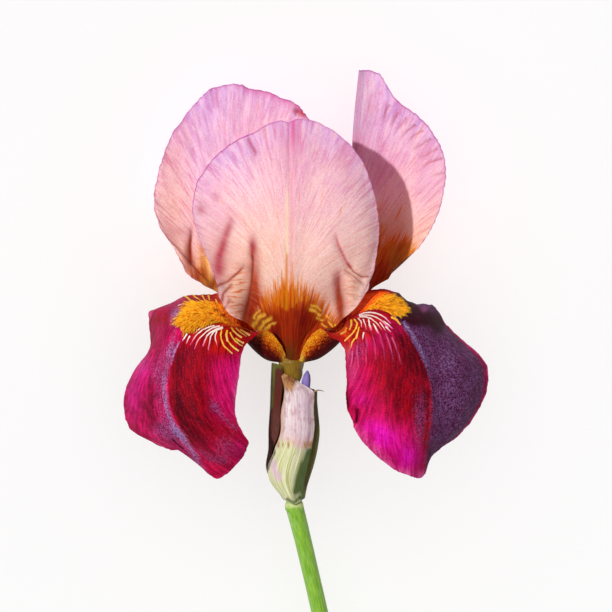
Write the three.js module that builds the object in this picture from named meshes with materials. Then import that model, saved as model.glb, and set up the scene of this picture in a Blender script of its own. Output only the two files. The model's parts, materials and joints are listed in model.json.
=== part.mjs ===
// Bearded iris flower on a short cut stem, laid on its back. Millimetres, +Z up.
// +Y runs from the cut stem end to the tops of the upright petals, +X is to the right in a front view,
// +Z is the side of the bloom that a viewer looks at.
import * as THREE from 'three';

// ---- driving dimensions (mm) ----
const UNIT = 0.4;            // one drawing unit of the control nets
const EYE = 2250;            // drawing distance of the perspective outline, in drawing units
const AXIS_HEIGHT = 118;     // flower axis above the resting surface, in drawing units
const CENTRE_X = 306;        // drawing position of the axis of view
const CENTRE_Y = 306;
const PETAL_T = 1.0;         // upright petal, blade thickness
const FALL_T = 1.1;          // hanging petal, blade thickness
const CLAW_T = 1.5;          // both, at the claw's middle
const MARGIN_T = 0.55;       // both, at the margin
const STYLE_T = 0.9;         // style arm
const VALVE_T = 0.7;         // bract valves of the spathe
const BEARD_GAP = 0.35;      // clearance between a beard and its petal
const BEARD_H = 3.0;         // beard's height over the petal
const STEM_SIDES = 14;
const SHIFT_X = 0.0127;      // brings the bounding box's bottom centre to the origin
const SHIFT_Y = 55.9057;
const SHIFT_Z = -0.5736;

// ---- control nets: [across, down, depth towards the viewer], drawing units ----
// Upright petals: one row per vein, from claw to margin. Hanging petals: one row per station from claw to tip.
const STD_FRONT = [
  [[288.4,360,10], [277,343,17], [261.5,331,30], [246,322,48], [229,313.5,56], [219,296.5,39]],
  [[288.9,360,10.2], [279,338,16], [259,315,31], [236,296,41], [220,278,38], [205,254,28]],
  [[289.6,360,10.5], [281,337,19], [258,305,36], [231,268,45], [211,240,42], [193,207,32]],
  [[290.3,360,10.7], [284,336,22], [265,300,43], [239,252,56], [216,208,54], [203,172,40]],
  [[291.1,360,10.9], [287,335,24], [275,298,48], [256,245,64], [238,190,65], [229,146,48]],
  [[292.1,360,11], [290,335,25], [284,297,50], [275,240,68], [265,183,71], [260,127,52]],
  [[293,360,11], [292,335,26], [291,297,51], [291,240,70], [290,183,73], [288,122,55]],
  [[293.9,360,11], [294,335,25], [298,297,50], [306,240,68], [314,183,70], [318,122,52]],
  [[294.9,360,10.9], [297,335,24], [308,298,48], [326,247,66], [341,196,67], [351,146,55]],
  [[295.7,360,10.7], [300,336,22], [318,300,43], [342,258,59], [360,220,59], [371,180,50]],
  [[296.4,360,10.5], [303,337,19], [326,305,36], [348,272,51], [366,248,51], [378,216,43]],
  [[297.1,360,10.2], [305,338,16], [330,313,31], [347,297,46], [363,278,45], [377,252,38]],
  [[297.6,360,10], [309,342,17], [324,330,30], [341,319.5,46], [355,308,50], [366.5,290,43]],
];
const STD_LEFT = [
  [[282.3,360,-2], [271,345,-16], [257,328,-28], [244,311,-38], [229,297,-44], [205,286,-44]],
  [[282.5,360,-2.6], [268,341,-19], [249,319,-36], [230,299,-52], [208,283,-58], [182,262,-58]],
  [[282.8,360,-3.4], [267,338,-21], [240,312,-44], [212,284,-64], [186,258,-72], [158,222,-70]],
  [[283.2,360,-4.2], [267,335,-24], [238,303,-54], [206,266,-78], [176,222,-84], [154,182,-80]],
  [[283.6,360,-5], [268,332,-26], [238,295,-62], [207,248,-87], [184,194,-92], [168,143,-84]],
  [[284,360,-5.7], [270,330,-28], [240,288,-68], [214,232,-92], [202,168,-94], [196,101,-84]],
  [[284.5,360,-6.4], [272,329,-30], [244,284,-71], [226,224,-95], [222,155,-94], [221,85,-82]],
  [[285,360,-7.1], [274,329,-31], [250,283,-73], [240,222,-96], [244,152,-93], [250,88,-82]],
  [[285.5,360,-7.7], [277,329,-32], [257,284,-74], [256,225,-96], [267,158,-91], [279,94,-80]],
  [[286,360,-8.3], [280,330,-33], [265,288,-73], [273,234,-94], [289,172,-88], [305,112,-78]],
  [[286.4,360,-8.8], [283,332,-33], [273,294,-70], [287,246,-88], [304,195,-84], [319,142,-76]],
  [[286.8,360,-9.2], [286,334,-32], [280,301,-64], [294,262,-79], [310,222,-77], [322,182,-72]],
  [[287.1,360,-9.5], [287,337,-29], [285,312,-55], [295,284,-67], [305,258,-68], [314,228,-66]],
];
const STD_RIGHT = [
  [[298.9,360,-9.5], [301,337,-30], [312,316,-54], [326,298,-72], [340,284,-84], [352,272,-92]],
  [[299.4,360,-9], [303,333,-34], [318,304,-67], [338,276,-92], [356,252,-102], [370,236,-108]],
  [[300,360,-8.5], [306,330,-35], [324,292,-70], [345,252,-96], [364,212,-108], [379,186,-112]],
  [[300.6,360,-7.8], [308,328,-33], [328,284,-65], [348,230,-92], [365,176,-104], [380,140,-108]],
  [[301.3,360,-7.1], [311,326,-29], [332,277,-57], [349,210,-79], [360,150,-90], [371,100,-93]],
  [[301.8,360,-6.4], [313,326,-26], [335,272,-50], [350.5,205,-64], [353.5,135,-61], [359,72,-52]],
  [[302.2,360,-5.7], [315,327,-24], [339,277,-48], [360,210,-64], [368,140,-61], [379,73,-48]],
  [[302.6,360,-5], [318,328,-22], [345,282,-48], [371,226,-66], [387,163,-64], [400,102,-46]],
  [[302.9,360,-4.4], [320,330,-22], [350,290,-48], [381,243,-64], [405,188,-60], [430,128,-40]],
  [[303.1,360,-3.9], [321,333,-21], [353,299,-46], [386,260,-59], [416,213,-53], [446,162,-32]],
  [[303.3,360,-3.4], [321,336,-20], [352,306,-44], [385,275,-54], [413,240,-48], [441,206,-30]],
  [[303.5,360,-2.7], [318,339,-19], [343,313,-42], [369,289,-52], [396,268,-47], [424,240,-34]],
  [[303.7,360,-2], [316,342,-17], [335,321,-38], [351,305,-50], [367,292,-52], [389,279,-46]],
];
const FALL_LEFT = [
  [[282,360.5,1.2], [282.6,361.2,3.4], [283.6,361.2,5.7], [285.1,360.8,7.8], [286.5,360.2,9]],
  [[268,350,-3], [264.5,356,3.5], [266.5,357.5,16], [274,351.5,23], [280.5,344,27]],
  [[257,321,-11], [246,335,3], [248,341.5,25], [257,336,37], [265.5,329.5,41]],
  [[243,303,-13], [235,314,12], [238,325,37], [245.5,332,48], [254,337.5,53]],
  [[218,293,-12], [221,302,20], [224,319,49], [238.5,331,62], [246.5,343.5,65]],
  [[191,294,-9], [202,301,27], [209,313,57], [228,329,71], [243,351,73]],
  [[172,302,-7], [183,302,33], [193,313,67], [215,335,82], [241,366,81]],
  [[149,312,-3], [163,312,39], [177,324,75], [205,350,91], [239,378,83]],
  [[148.5,343,3], [156,337,45], [169,347,79], [199,372,95], [236,392,83]],
  [[130,377,9], [142,374,51], [165,377,81], [198,399,96], [234.5,411,80]],
  [[122.5,405,15], [140,407,53], [164,411,81], [203,424,94], [240,428,77]],
  [[130,429,23], [151,436,55], [181,442,74], [218,449,86], [248,440,72]],
  [[151,443,31], [182,451,56], [216,478,60], [235,466,70], [248,449,67]],
];
const FALL_RIGHT = [
  [[304,360.5,1.2], [303.4,361.2,3.4], [302.4,361.2,5.7], [300.9,360.8,7.8], [299.5,360.2,9]],
  [[318,350,-3], [322,354.5,3.5], [319.5,356,16], [311.5,351.5,23], [305.3,344,27]],
  [[332,320,-12], [341,333,3], [339,341,25], [328.5,336,37], [319.5,329,41]],
  [[345,300,-15], [350.5,311,9], [346,325,36], [338.5,332.5,47], [331.5,337.5,53]],
  [[366,290,-15], [366,301,17], [359,318,48], [349,329,62], [339,341,65]],
  [[384,288,-12], [384,296,25], [374,312,56], [360,330,71], [344,351,74]],
  [[400,292,-9], [399,299,32], [390,312,66], [371,335,82], [345.5,368,82]],
  [[421,303,-5], [417,307,39], [405,321,74], [382,351,92], [346.5,384,90]],
  [[443,318,1], [434,324,46], [418,342,79], [388,374,99], [346,401,97]],
  [[466,343,7], [450,348,51], [426,370,82], [391,403,102], [352,421,103]],
  [[488.5,374,13], [466,381,55], [433,402,83], [400,431,103], [363,442,104]],
  [[479,411,22], [459,424,57], [433,439,79], [409,456,96], [380,459,100]],
  [[456,438,32], [441,451,56], [426,473,70], [412,478,82], [394,470,93]],
];
const FALL_BACK = [
  [[288.6,360,-10.1], [290.5,360.6,-10.9], [293,361,-11.2], [295.5,360.6,-10.9], [297.4,360,-10.1]],
  [[284,350,-30], [288,356,-29], [293,358,-28], [298,356,-29], [302,350,-30]],
  [[276,342,-58], [283,353,-56], [292,357,-54], [301,353,-56], [309,342,-58]],
  [[264,330,-86], [276,343,-86], [291,349,-84], [306,343,-86], [320,330,-88]],
  [[250,312,-106], [268,322,-108], [290,328,-108], [312,322,-108], [332,312,-106]],
  [[236,285,-113], [262,290,-114.5], [290,294,-114.5], [316,290,-114.5], [342,285,-113]],
  [[228,250,-114], [258,252,-115], [291,254,-115], [320,252,-115], [347,252,-114.5]],
  [[229,215,-113.5], [259,215,-115], [292,215,-115], [322,215,-115], [347,217,-115]],
  [[240,186,-113], [266,182,-114.5], [294,179,-115], [320,182,-115], [342,188,-115]],
  [[262,166,-111.5], [278,161,-113], [295,158,-114], [313,161,-114.5], [328,168,-114.5]],
];
const STYLE_LEFT = [
  [[289.8,360,-2.6], [288.8,360,0], [289.8,360,2.6]],
  [[281.5,344,-3], [280,342,0.5], [281.5,344,4]],
  [[268,325,-4], [265.5,321,1.5], [268,325,7]],
  [[254,310,-6.5], [250.5,305,2], [254,310,10]],
  [[241,300,-9], [238,295,1], [241,300,11]],
  [[236,293,-9], [236,295,1], [236,292,11]],
];
const STYLE_RIGHT = [
  [[296.2,360,2.6], [297.2,360,0], [296.2,360,-2.6]],
  [[304.5,344,4], [306,342,0.5], [304.5,344,-3]],
  [[318,325,7], [320.5,321,1.5], [318,325,-4]],
  [[332,310,10], [335.5,305,2], [332,310,-6.5]],
  [[345,300,11], [348,295,1], [345,300,-9]],
  [[350,292,11], [350,295,1], [350,293,-9]],
];
const STYLE_BACK = [
  [[290.4,360,-4.2], [293,360,-5], [295.6,360,-4.2]],
  [[289.8,346,-9], [293,345,-11], [296.2,346,-9]],
  [[288.5,328,-18], [293,325,-21], [297.5,328,-18]],
  [[286.5,314,-30], [293,309,-33], [299.5,314,-30]],
  [[285,306,-41], [293,300,-44], [301,306,-41]],
  [[286,302,-46], [293,300,-46], [300,302,-46]],
];
const SPATHE_FRONT = [
  [[284.3,499.5,3], [288.5,502,8.3], [294,504.3,11.3], [299.5,502,8.3], [303.6,498.5,3]],
  [[271,482,2], [277,483,11], [286,483,15], [295,482,12], [304.5,481,4]],
  [[268.3,467,-1], [275,467,12], [287,466,17], [299,464,13], [308.5,463,4]],
  [[274,451,-1], [282,449,12], [293,448,17], [303.5,447,13], [311.8,446,4]],
  [[280.5,434,2], [286,432,13], [296,431,17], [306.5,430,13], [314.4,430,3.5]],
  [[281,414,3.5], [286,412,13], [296,411,16.5], [306,411,12.5], [313.6,411.5,3.5]],
  [[283.5,398,6], [287,397,13], [295,396,16], [305.5,395,13], [313.8,398,4.5]],
  [[284,387,8], [286,384,13], [291,383,14.5], [299,386,12.7], [312.8,390.8,6.5]],
  [[281.8,376,10.5], [284.5,374,12], [288.5,375.5,12.7], [293,378,12.5], [300,382.5,11.5]],
];
const SPATHE_BACK = [
  [[284,499,-2.5], [283.3,499,-6], [287,500.5,-11.5], [299,500.5,-12], [304.6,498,-6], [304.3,497.5,-2]],
  [[275,484,-4], [274.3,485,-8], [281,486,-14.5], [296,486,-14.5], [307.2,485,-8], [306,483.5,-2.5]],
  [[269.5,468,-5], [266.6,468,-9], [276,470,-17], [297,470,-17.5], [312.8,467,-9], [311.2,466,-2.5]],
  [[272.5,450,-5], [268.6,449,-10], [277,450,-19], [299,450,-19], [316.8,450,-10], [315.4,448,-2.5]],
  [[279,432,-3.5], [268.8,430,-9], [277,431,-19], [300,431,-19.5], [319,431,-10], [317.6,430,-3]],
  [[280.5,407,-1.5], [270.4,405,-8], [277,407,-18], [299,408,-19], [317.2,409,-10], [316,411,-3]],
  [[282.6,386,4.5], [271.2,382,-5], [276.5,385,-17], [297,393,-19], [316.4,399,-9.5], [315,400,-2.5]],
  [[283,366,9.3], [272.2,363.4,-3.5], [276,369,-13], [293,382,-17.5], [316.3,391,-8], [313.8,391.5,-2]],
];
const STAMEN_LEFT = [[286,360,1.9,1.2], [273,349,4,1.2], [262,335,6,1.2], [257,329,6.5,2], [246,317,7,1.6]];
const STAMEN_RIGHT = [[300,360,1.9,1.2], [313,349,4,1.2], [324,335,6,1.2], [329,329,6.5,2], [340,317,7,1.6]];
const STAMEN_BACK = [[293,360,-8,1.2], [293,348,-19,1.2], [293,338,-31,1.2], [293,333,-37,2], [293,322,-48,1.6]];
const OVARY = [[294.6,364.4,0,14], [294.6,367,0,13], [294,370.5,-0.5,11.2], [293,375,-1,9.3], [292,382,-2,7.6], [291,395,-2,7], [290,420,-1.5,7.2],
  [289.5,445,-1,7.2], [290,470,-1,7], [292,488,-1,6], [293,496,-1,5.5]];
const BUD = [[307.6,370.5,3,0.8], [307,375,3,3.3], [306.2,381,2.5,4.6], [305.2,392,1,4.7], [304.2,410,-0.5,4.6], [302.7,440,-0.5,3.8], [301.5,468,-0.5,2.8]];
const STEM = [[293.5,497,-1,6.2], [293.5,500.5,-1,7], [293.7,503.6,-1,8.6], [294.2,506,-1.4,9.4], [295.2,509,-2.2,8.9], [302.6,538,-14.5,8.4], [311.8,577,-31,8.3],
  [321,617,-47.5,8.3], [332,665,-64.5,8.4], [343,714,-81,8.6], [354,762,-96.5,8.8], [362,800,-107.8,9]];
const EDGE_STD_FRONT = [[0,0], [1.5,-1], [2.6,-0.6], [1.8,-0.8], [0.7,-0.3], [-0.3,0.1], [-0.6,0.2], [-0.9,0.1], [-0.7,-0.1], [0.1,0], [-0.1,0], [-1,-0.3], [0.6,0.5],
  [0.2,0.1], [-0.6,-0.7], [-0.5,-0.6], [-0.3,-0.5], [0,-0.1], [0.4,1.2], [1.5,2.2], [0.8,1.2], [0,0], [-0.6,-1.4], [0.4,-1.7], [1,1], [-0.5,-1.9],
  [0.3,-1.4], [0,0.2], [-0.2,0.6], [-0.3,0.6], [0.1,-0.3], [-0.2,0.2], [0,0], [-0.1,0.1], [0.3,-0.1], [-0.5,0.2], [-1,0.3], [-1.3,0.4], [-0.7,0.2],
  [-0.3,0], [0.1,0], [0.2,0], [0.3,0], [-0.2,0], [-0.1,0], [0.4,0.1], [1.2,0.8], [0.9,0.2], [1.5,-1]];
const EDGE_STD_LEFT = [[0,0.1], [-0.7,1], [-1.4,2.3], [-2.6,1.3], [-0.8,0.4], [1.1,-0.5], [1.5,-1], [0.1,-0.1], [-0.1,0], [-0.2,0], [0.3,0], [1.2,0.2], [2.1,0.4], [2,0.4],
  [1.6,0.7], [1.6,0.7], [0.3,0.1], [-0.9,-0.6], [0.4,0.5], [0.2,0.2], [1,1], [0.7,0.7], [-0.1,-0.3], [0.3,1.2], [0.5,1.6], [0.1,0.2], [0,-1.1],
  [1,-1.6], [-1.4,1.1], [-0.2,1], [-0.3,1.5], [-0.7,1.5], [-1,2.2], [-0.7,2.1], [-0.1,0.4], [-0.1,0.1], [-1.2,1], [-0.6,0.5], [0,0], [0,0], [0,0],
  [0,0], [0,0], [0,0], [0,0], [0,0], [0,0], [0,0], [0,0]];
const EDGE_STD_RIGHT = [[0,0], [0,0], [0,0], [0,0], [0,0], [0,0], [0,0], [0,0], [0,0], [0,0], [0,0], [0,0], [0,0], [0,0], [0,0], [0,0], [0,0], [0,0], [0,0], [0,0],
  [-0.1,-1.1], [0.1,1], [-0.3,1.2], [-0.4,1.6], [-0.2,0.4], [-0.5,0.2], [-1.6,1], [-1.4,1], [-0.4,0.6], [0.2,-0.3], [0.3,-0.4], [0.3,-0.2], [-0.5,0.4],
  [-0.6,0.4], [-0.4,0.2], [-0.8,0.2], [-1.1,0.2], [-0.8,-0.1], [-0.9,-0.1], [-0.6,-0.1], [-0.5,-0.1], [-0.4,-0.2], [-0.6,-0.3], [-0.2,-0.1], [0,0],
  [0.3,0.2], [-0.8,-1.1], [-3,-1.8], [-0.7,-0.4]];
const EDGE_FALL_LEFT = [
  [[0,0], [0,0], [0,0], [0,0], [0,0], [0,0], [0,0], [0,0], [0,0], [0,0], [0,0], [0,0], [0,0], [0,0], [0,0], [0,0], [0,0], [0,2.7], [0,2.6], [0,2],
  [0,1], [0.1,0.6], [0,0], [0.2,0.4], [0.3,0.7], [0.5,1.1], [0.8,2], [0.8,2], [0,0], [1.5,0], [1,0], [0.8,-0.1], [2.5,0.3], [2.5,2.4], [1.4,1.1],
  [0.8,0.6], [0.8,0.4], [0.2,0.1], [0.6,0.1], [1.1,0.2], [1.1,-0.1], [1.4,-0.2], [0.8,-0.3], [0.9,-0.4], [0,0], [0.8,-1.6], [1.1,-2.2], [1.1,-1.7],
  [0.9,-1.4]],
  [[0,0], [0,0], [0,0], [0,0], [0,0], [0,0], [0,0], [0,0], [0,0], [0,0], [0,0], [0,0], [0,0], [0,0], [0,0], [0,0], [0,0], [0,0], [-0.4,0.3],
  [-0.2,-0.1], [-0.4,-0.2], [-1,-0.4], [-1.2,-0.1], [-1.2,-0.1], [-1.1,-0.1], [-1,-0.1], [-0.8,-0.1], [-0.7,-0.1], [-0.6,-0.1], [-0.4,-0.1], [-0.1,0],
  [0.2,0], [0.3,0], [0.4,0], [0.6,0.1], [0.6,0], [0,0], [0.2,0], [-0.1,0], [-0.1,0.1], [0.2,-0.1], [0,0], [-0.5,0.3], [-0.6,0.4], [-0.3,0.2], [0.2,0.1],
  [-0.4,-0.2], [-0.8,-0.3], [-1.4,-0.5]],
  [[0.9,-1.4], [-0.7,1.3], [0,3.1], [0.5,-0.7], [0.7,-0.7], [0.2,-0.2], [-0.2,0.6], [-0.7,-1.3], [-0.2,-0.2], [0,0], [0.1,0], [-0.1,-0.1], [-1.4,-0.5]],
];
const EDGE_FALL_RIGHT = [
  [[0,0], [0,0], [0,0], [0,0], [0,0], [0,0], [0,0], [0,0], [0,0], [0,0], [0,0], [0,0], [0,0], [0,0], [0,0], [0,0], [2,1], [0.3,1.8], [0.3,1.8],
  [0.2,1.4], [-0.3,1.4], [-0.4,1.9], [-0.5,2], [-0.4,1.8], [-1,1], [-2.6,2.4], [-4.1,3.8], [0.4,4.7], [0,1], [0.1,-1.8], [0.3,-4.8], [1.5,-0.7],
  [-1.2,0.6], [-2,1.9], [-2,1.9], [-1.1,1.2], [-0.1,0.1], [0.7,-0.7], [1.4,-1.5], [1.4,-0.2], [-0.9,0.1], [-1.3,-0.1], [-0.2,0], [-0.5,-0.3],
  [-1.2,-0.7], [-0.7,-0.4], [-0.1,-0.1], [0,0], [0,0]],
  [[0,0], [0,0], [0,0], [0,0], [0,0], [0,0], [0,0], [0,0], [0,0], [0,0], [0,0], [0,0], [0,0], [0,0], [0,0], [0,0], [0,0], [0,0], [0,0], [1.9,1.1],
  [1.1,-0.1], [0.7,0], [0.5,0], [0.5,0], [0.5,0], [0.5,0], [0.4,0], [0.5,0], [0.4,0], [0.2,0], [0.3,0], [0.4,0], [0.6,-0.1], [0.2,0], [-0.5,0.1],
  [0.4,-0.4], [1,0.4], [-0.7,0.4], [-0.2,0.1], [0,0], [0,0], [0.4,-0.4], [0.4,-0.4], [0.2,-0.2], [0.1,-0.1], [0.3,-0.4], [0.3,-0.4], [0.3,-0.3],
  [0.3,-0.3]],
  [[0,0], [-0.4,-0.7], [-1,-1.2], [-1.5,-1.9], [-4.5,-2.1], [-3.5,-1.6], [-0.6,-0.1], [0.1,1], [0,0], [0.5,-1.5], [0.6,-1.7], [0.2,-0.7], [0.3,-0.3]],
];
// ---- surfaces ----
function padded(net) {
  const mirror = (a, b) => a.map((v, k) => 2 * v - b[k]);
  const wide = net.map((r) => [mirror(r[0], r[1]), ...r, mirror(r[r.length - 1], r[r.length - 2])]);
  const edge = (a, b) => a.map((p, j) => mirror(p, b[j]));
  return [edge(wide[0], wide[1]), ...wide, edge(wide[wide.length - 1], wide[wide.length - 2])];
}
function weights(n, t) {
  const x = Math.min(Math.max(t, 0), 1) * (n - 1);
  const i = Math.min(Math.floor(x), n - 2);
  const f = x - i, g = f * f, h = g * f;
  return [i, [-0.5 * f + g - 0.5 * h, 1 - 2.5 * g + 1.5 * h, 0.5 * f + 2 * g - 1.5 * h, -0.5 * g + 0.5 * h]];
}
function surface(net) {
  const P = padded(net), n = net.length, m = net[0].length;
  return (u, v) => {
    const [i, a] = weights(n, u), [j, b] = weights(m, v), out = [0, 0, 0];
    for (let s = 0; s < 4; s++) for (let t = 0; t < 4; t++) for (let k = 0; k < 3; k++) out[k] += a[s] * b[t] * P[i + s][j + t][k];
    return out;
  };
}
function look(table, t, k) {
  const x = Math.min(Math.max(t, 0), 1) * (table.length - 1), i = Math.min(Math.floor(x), table.length - 2);
  return table[i][k] + (table[i + 1][k] - table[i][k]) * (x - i);
}
const ease = (x) => { const c = Math.min(Math.max(x, 0), 1); return c * c * (3 - 2 * c); };
function fanPetal(net, edge) {
  const f = surface(net);
  return (u, v) => {
    const p = f(u, v), w = ease((v - 0.5) / 0.5);
    return [p[0] + look(edge, u, 0) * w, p[1] + look(edge, u, 1) * w, p[2]];
  };
}
function stripPetal(net, [left, right, tip]) {
  const f = surface(net);
  return (u, v) => {
    const p = f(u, v), l = (1 - v) ** 2, r = v ** 2, w = ease((u - 0.8) / 0.2);
    for (let k = 0; k < 2; k++) {
      p[k] += look(left, u, k) * l + look(right, u, k) * r + w * (look(tip, v, k) - l * tip[0][k] - r * tip[tip.length - 1][k]);
    }
    return p;
  };
}
function world([x, y, d]) {
  const s = (EYE - d) / EYE * UNIT;
  return new THREE.Vector3((x - CENTRE_X) * s + SHIFT_X, (CENTRE_Y - y) * s + SHIFT_Y, (d + AXIS_HEIGHT) * UNIT + SHIFT_Z);
}
function normalAt(f, u, v) {
  const e = 0.012;
  const a = world(f(Math.min(u + e, 1), v)).sub(world(f(Math.max(u - e, 0), v)));
  const b = world(f(u, Math.min(v + e, 1))).sub(world(f(u, Math.max(v - e, 0))));
  return a.cross(b).normalize();
}

// A closed skin between two offsets of a surface patch. low and high give the offsets along the normal, in mm.
function skin(f, us, vs, low, high, patch = (u, v) => [u, v]) {
  const n = us.length, m = vs.length, pos = [], idx = [];
  for (const side of [low, high]) {
    for (const u of us) for (const v of vs) {
      const [pu, pv] = patch(u, v);
      const p = world(f(pu, pv)).addScaledVector(normalAt(f, pu, pv), side(u, v));
      pos.push(p.x, p.y, p.z);
    }
  }
  const at = (i, j, s) => s * n * m + i * m + j;
  for (let i = 0; i + 1 < n; i++) for (let j = 0; j + 1 < m; j++) {
    idx.push(at(i, j, 1), at(i + 1, j, 1), at(i + 1, j + 1, 1), at(i, j, 1), at(i + 1, j + 1, 1), at(i, j + 1, 1));
    idx.push(at(i, j, 0), at(i + 1, j + 1, 0), at(i + 1, j, 0), at(i, j, 0), at(i, j + 1, 0), at(i + 1, j + 1, 0));
  }
  const wall = (a, b) => {
    const [i, j] = a, [k, l] = b;
    idx.push(at(i, j, 0), at(k, l, 0), at(k, l, 1), at(i, j, 0), at(k, l, 1), at(i, j, 1));
  };
  for (let i = 0; i + 1 < n; i++) { wall([i, 0], [i + 1, 0]); wall([i + 1, m - 1], [i, m - 1]); }
  for (let j = 0; j + 1 < m; j++) { wall([0, j + 1], [0, j]); wall([n - 1, j], [n - 1, j + 1]); }
  return closed(pos, idx);
}
// Turns the faces outwards by the sign of the enclosed volume.
function closed(pos, idx) {
  let vol = 0;
  const v = (i) => new THREE.Vector3(pos[3 * i], pos[3 * i + 1], pos[3 * i + 2]);
  for (let t = 0; t < idx.length; t += 3) vol += v(idx[t]).dot(v(idx[t + 1]).cross(v(idx[t + 2])));
  if (vol < 0) for (let t = 0; t < idx.length; t += 3) [idx[t + 1], idx[t + 2]] = [idx[t + 2], idx[t + 1]];
  const g = new THREE.BufferGeometry();
  g.setAttribute('position', new THREE.Float32BufferAttribute(pos, 3));
  g.setIndex(idx);
  g.computeVertexNormals();
  return g;
}
// A round solid along a path of [across, down, depth, radius].
function rod(path, sides, rings) {
  const pts = path.map((p) => world(p)), curve = new THREE.CatmullRomCurve3(pts, false, 'centripetal');
  const pos = [], idx = [];
  const side = new THREE.Vector3(1, 0, 0);
  for (let i = 0; i <= rings; i++) {
    const t = i / rings, p = curve.getPoint(t), d = curve.getTangent(t);
    const a = side.clone().addScaledVector(d, -side.dot(d)).normalize(), b = d.clone().cross(a);
    const r = look(path, t, 3) * UNIT;
    for (let k = 0; k < sides; k++) {
      const w = 2 * Math.PI * k / sides;
      const q = p.clone().addScaledVector(a, r * Math.cos(w)).addScaledVector(b, r * Math.sin(w));
      pos.push(q.x, q.y, q.z);
    }
  }
  for (let i = 0; i < rings; i++) for (let k = 0; k < sides; k++) {
    const a = i * sides + k, b = i * sides + (k + 1) % sides, c = a + sides, e = b + sides;
    idx.push(a, c, e, a, e, b);
  }
  for (let k = 1; k + 1 < sides; k++) {
    idx.push(0, k, k + 1);
    const o = rings * sides;
    idx.push(o, o + k + 1, o + k);
  }
  return closed(pos, idx);
}

// ---- pieces ----
const group = new THREE.Group();
group.name = 'bearded_iris_flower';
function add(name, geometry, color, roughness) {
  const mesh = new THREE.Mesh(geometry, new THREE.MeshStandardMaterial({ color, roughness, metalness: 0 }));
  mesh.name = name;
  group.add(mesh);
}
const even = (n) => Array.from({ length: n + 1 }, (_, i) => i / n);
// stations closer together near the margin
const margined = (n) => even(n).map((t) => 1 - (1 - t) ** 1.25);
const bothSides = (n) => even(n).map((t) => 0.5 - 0.5 * Math.cos(Math.PI * (0.12 + 0.76 * t)) / Math.cos(Math.PI * 0.12));

// Upright petal: thick in the middle of the claw, thin at every margin.
function fanThickness(u, v, blade) {
  const mid = 1 - Math.abs(2 * u - 1) ** 1.5;
  const claw = MARGIN_T + (CLAW_T - MARGIN_T) * mid;
  const face = MARGIN_T + (blade - MARGIN_T) * Math.min(1, 4 * Math.min(u, 1 - u) + 0.15);
  return (claw + (face - claw) * ease(v / 0.3)) * (1 - ease((v - 0.8) / 0.2)) + MARGIN_T * ease((v - 0.8) / 0.2);
}
function fan(name, net, edge, color) {
  const f = fanPetal(net, edge);
  const half = (s) => (u, v) => s * fanThickness(u, v, PETAL_T) / 2;
  add(name, skin(f, even(20), margined(11), half(-1), half(1)), color, 0.6);
}
function stripThickness(u, v) {
  const mid = 1 - Math.abs(2 * v - 1) ** 2;
  const claw = 0.45 + (CLAW_T - 0.45) * mid, face = MARGIN_T + (FALL_T - MARGIN_T) * mid;
  return (claw + (face - claw) * ease(u / 0.25)) * (1 - ease((u - 0.85) / 0.15)) + MARGIN_T * ease((u - 0.85) / 0.15);
}
function strip(name, f, color, up) {
  const half = (s) => (u, v) => s * stripThickness(u, v) / 2;
  add(name, skin(f, even(20), bothSides(10), half(-1), half(1)), color, 0.6);
  return normalAt(f, 0.3, 0.5).dot(up) > 0 ? 1 : -1;
}
// Beard: a long low mound of hairs along the middle of a hanging petal.
// Its table gives [station along the petal, rear side, front side].
const BEARD_LEFT = [[0.215, 0.46, 0.56], [0.27, 0.44, 0.60], [0.33, 0.38, 0.66], [0.39, 0.29, 0.70], [0.45, 0.34, 0.70], [0.50, 0.42, 0.67], [0.55, 0.46, 0.65], [0.585, 0.48, 0.63], [0.605, 0.50, 0.56]];
const BEARD_RIGHT = [[0.215, 0.40, 0.50], [0.27, 0.22, 0.45], [0.32, 0.12, 0.44], [0.38, 0.12, 0.47], [0.43, 0.16, 0.53], [0.47, 0.21, 0.56], [0.52, 0.30, 0.565], [0.56, 0.38, 0.54], [0.585, 0.43, 0.50]];
const BEARD_BACK = [[0.30, 0.45, 0.55], [0.36, 0.38, 0.62], [0.42, 0.34, 0.66], [0.48, 0.33, 0.67], [0.54, 0.36, 0.64], [0.62, 0.45, 0.55]];
function beard(name, f, sign, table) {
  const from = table[0][0], to = table[table.length - 1][0];
  const side = (u, k) => {
    let i = 0;
    while (i + 2 < table.length && table[i + 1][0] < u) i++;
    return table[i][k] + (table[i + 1][k] - table[i][k]) * Math.min(1, Math.max(0, (u - table[i][0]) / (table[i + 1][0] - table[i][0])));
  };
  const patch = (a, b) => {
    const u = from + (to - from) * a;
    return [u, side(u, 1) + (side(u, 2) - side(u, 1)) * b];
  };
  const floor = (a, b) => { const [u, v] = patch(a, b); return stripThickness(u, v) / 2 + BEARD_GAP; };
  const rise = (a, b) => BEARD_H * Math.sqrt(Math.max(0, 1 - (2 * b - 1) ** 2)) * Math.sin(Math.PI * (0.06 + 0.88 * a)) ** 0.6 * ease((patch(a, b)[0] - 0.25) / 0.16);
  const low = (a, b) => sign * floor(a, b);
  const high = (a, b) => sign * (floor(a, b) + 0.3 + rise(a, b));
  add(name, skin(f, even(14), even(6), low, high, patch), '#f59412', 0.85);
}

fan('standard_front', STD_FRONT, EDGE_STD_FRONT, '#e9bcd2');
fan('standard_back_left', STD_LEFT, EDGE_STD_LEFT, '#e6b4d4');
fan('standard_back_right', STD_RIGHT, EDGE_STD_RIGHT, '#e2a9cc');

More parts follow.
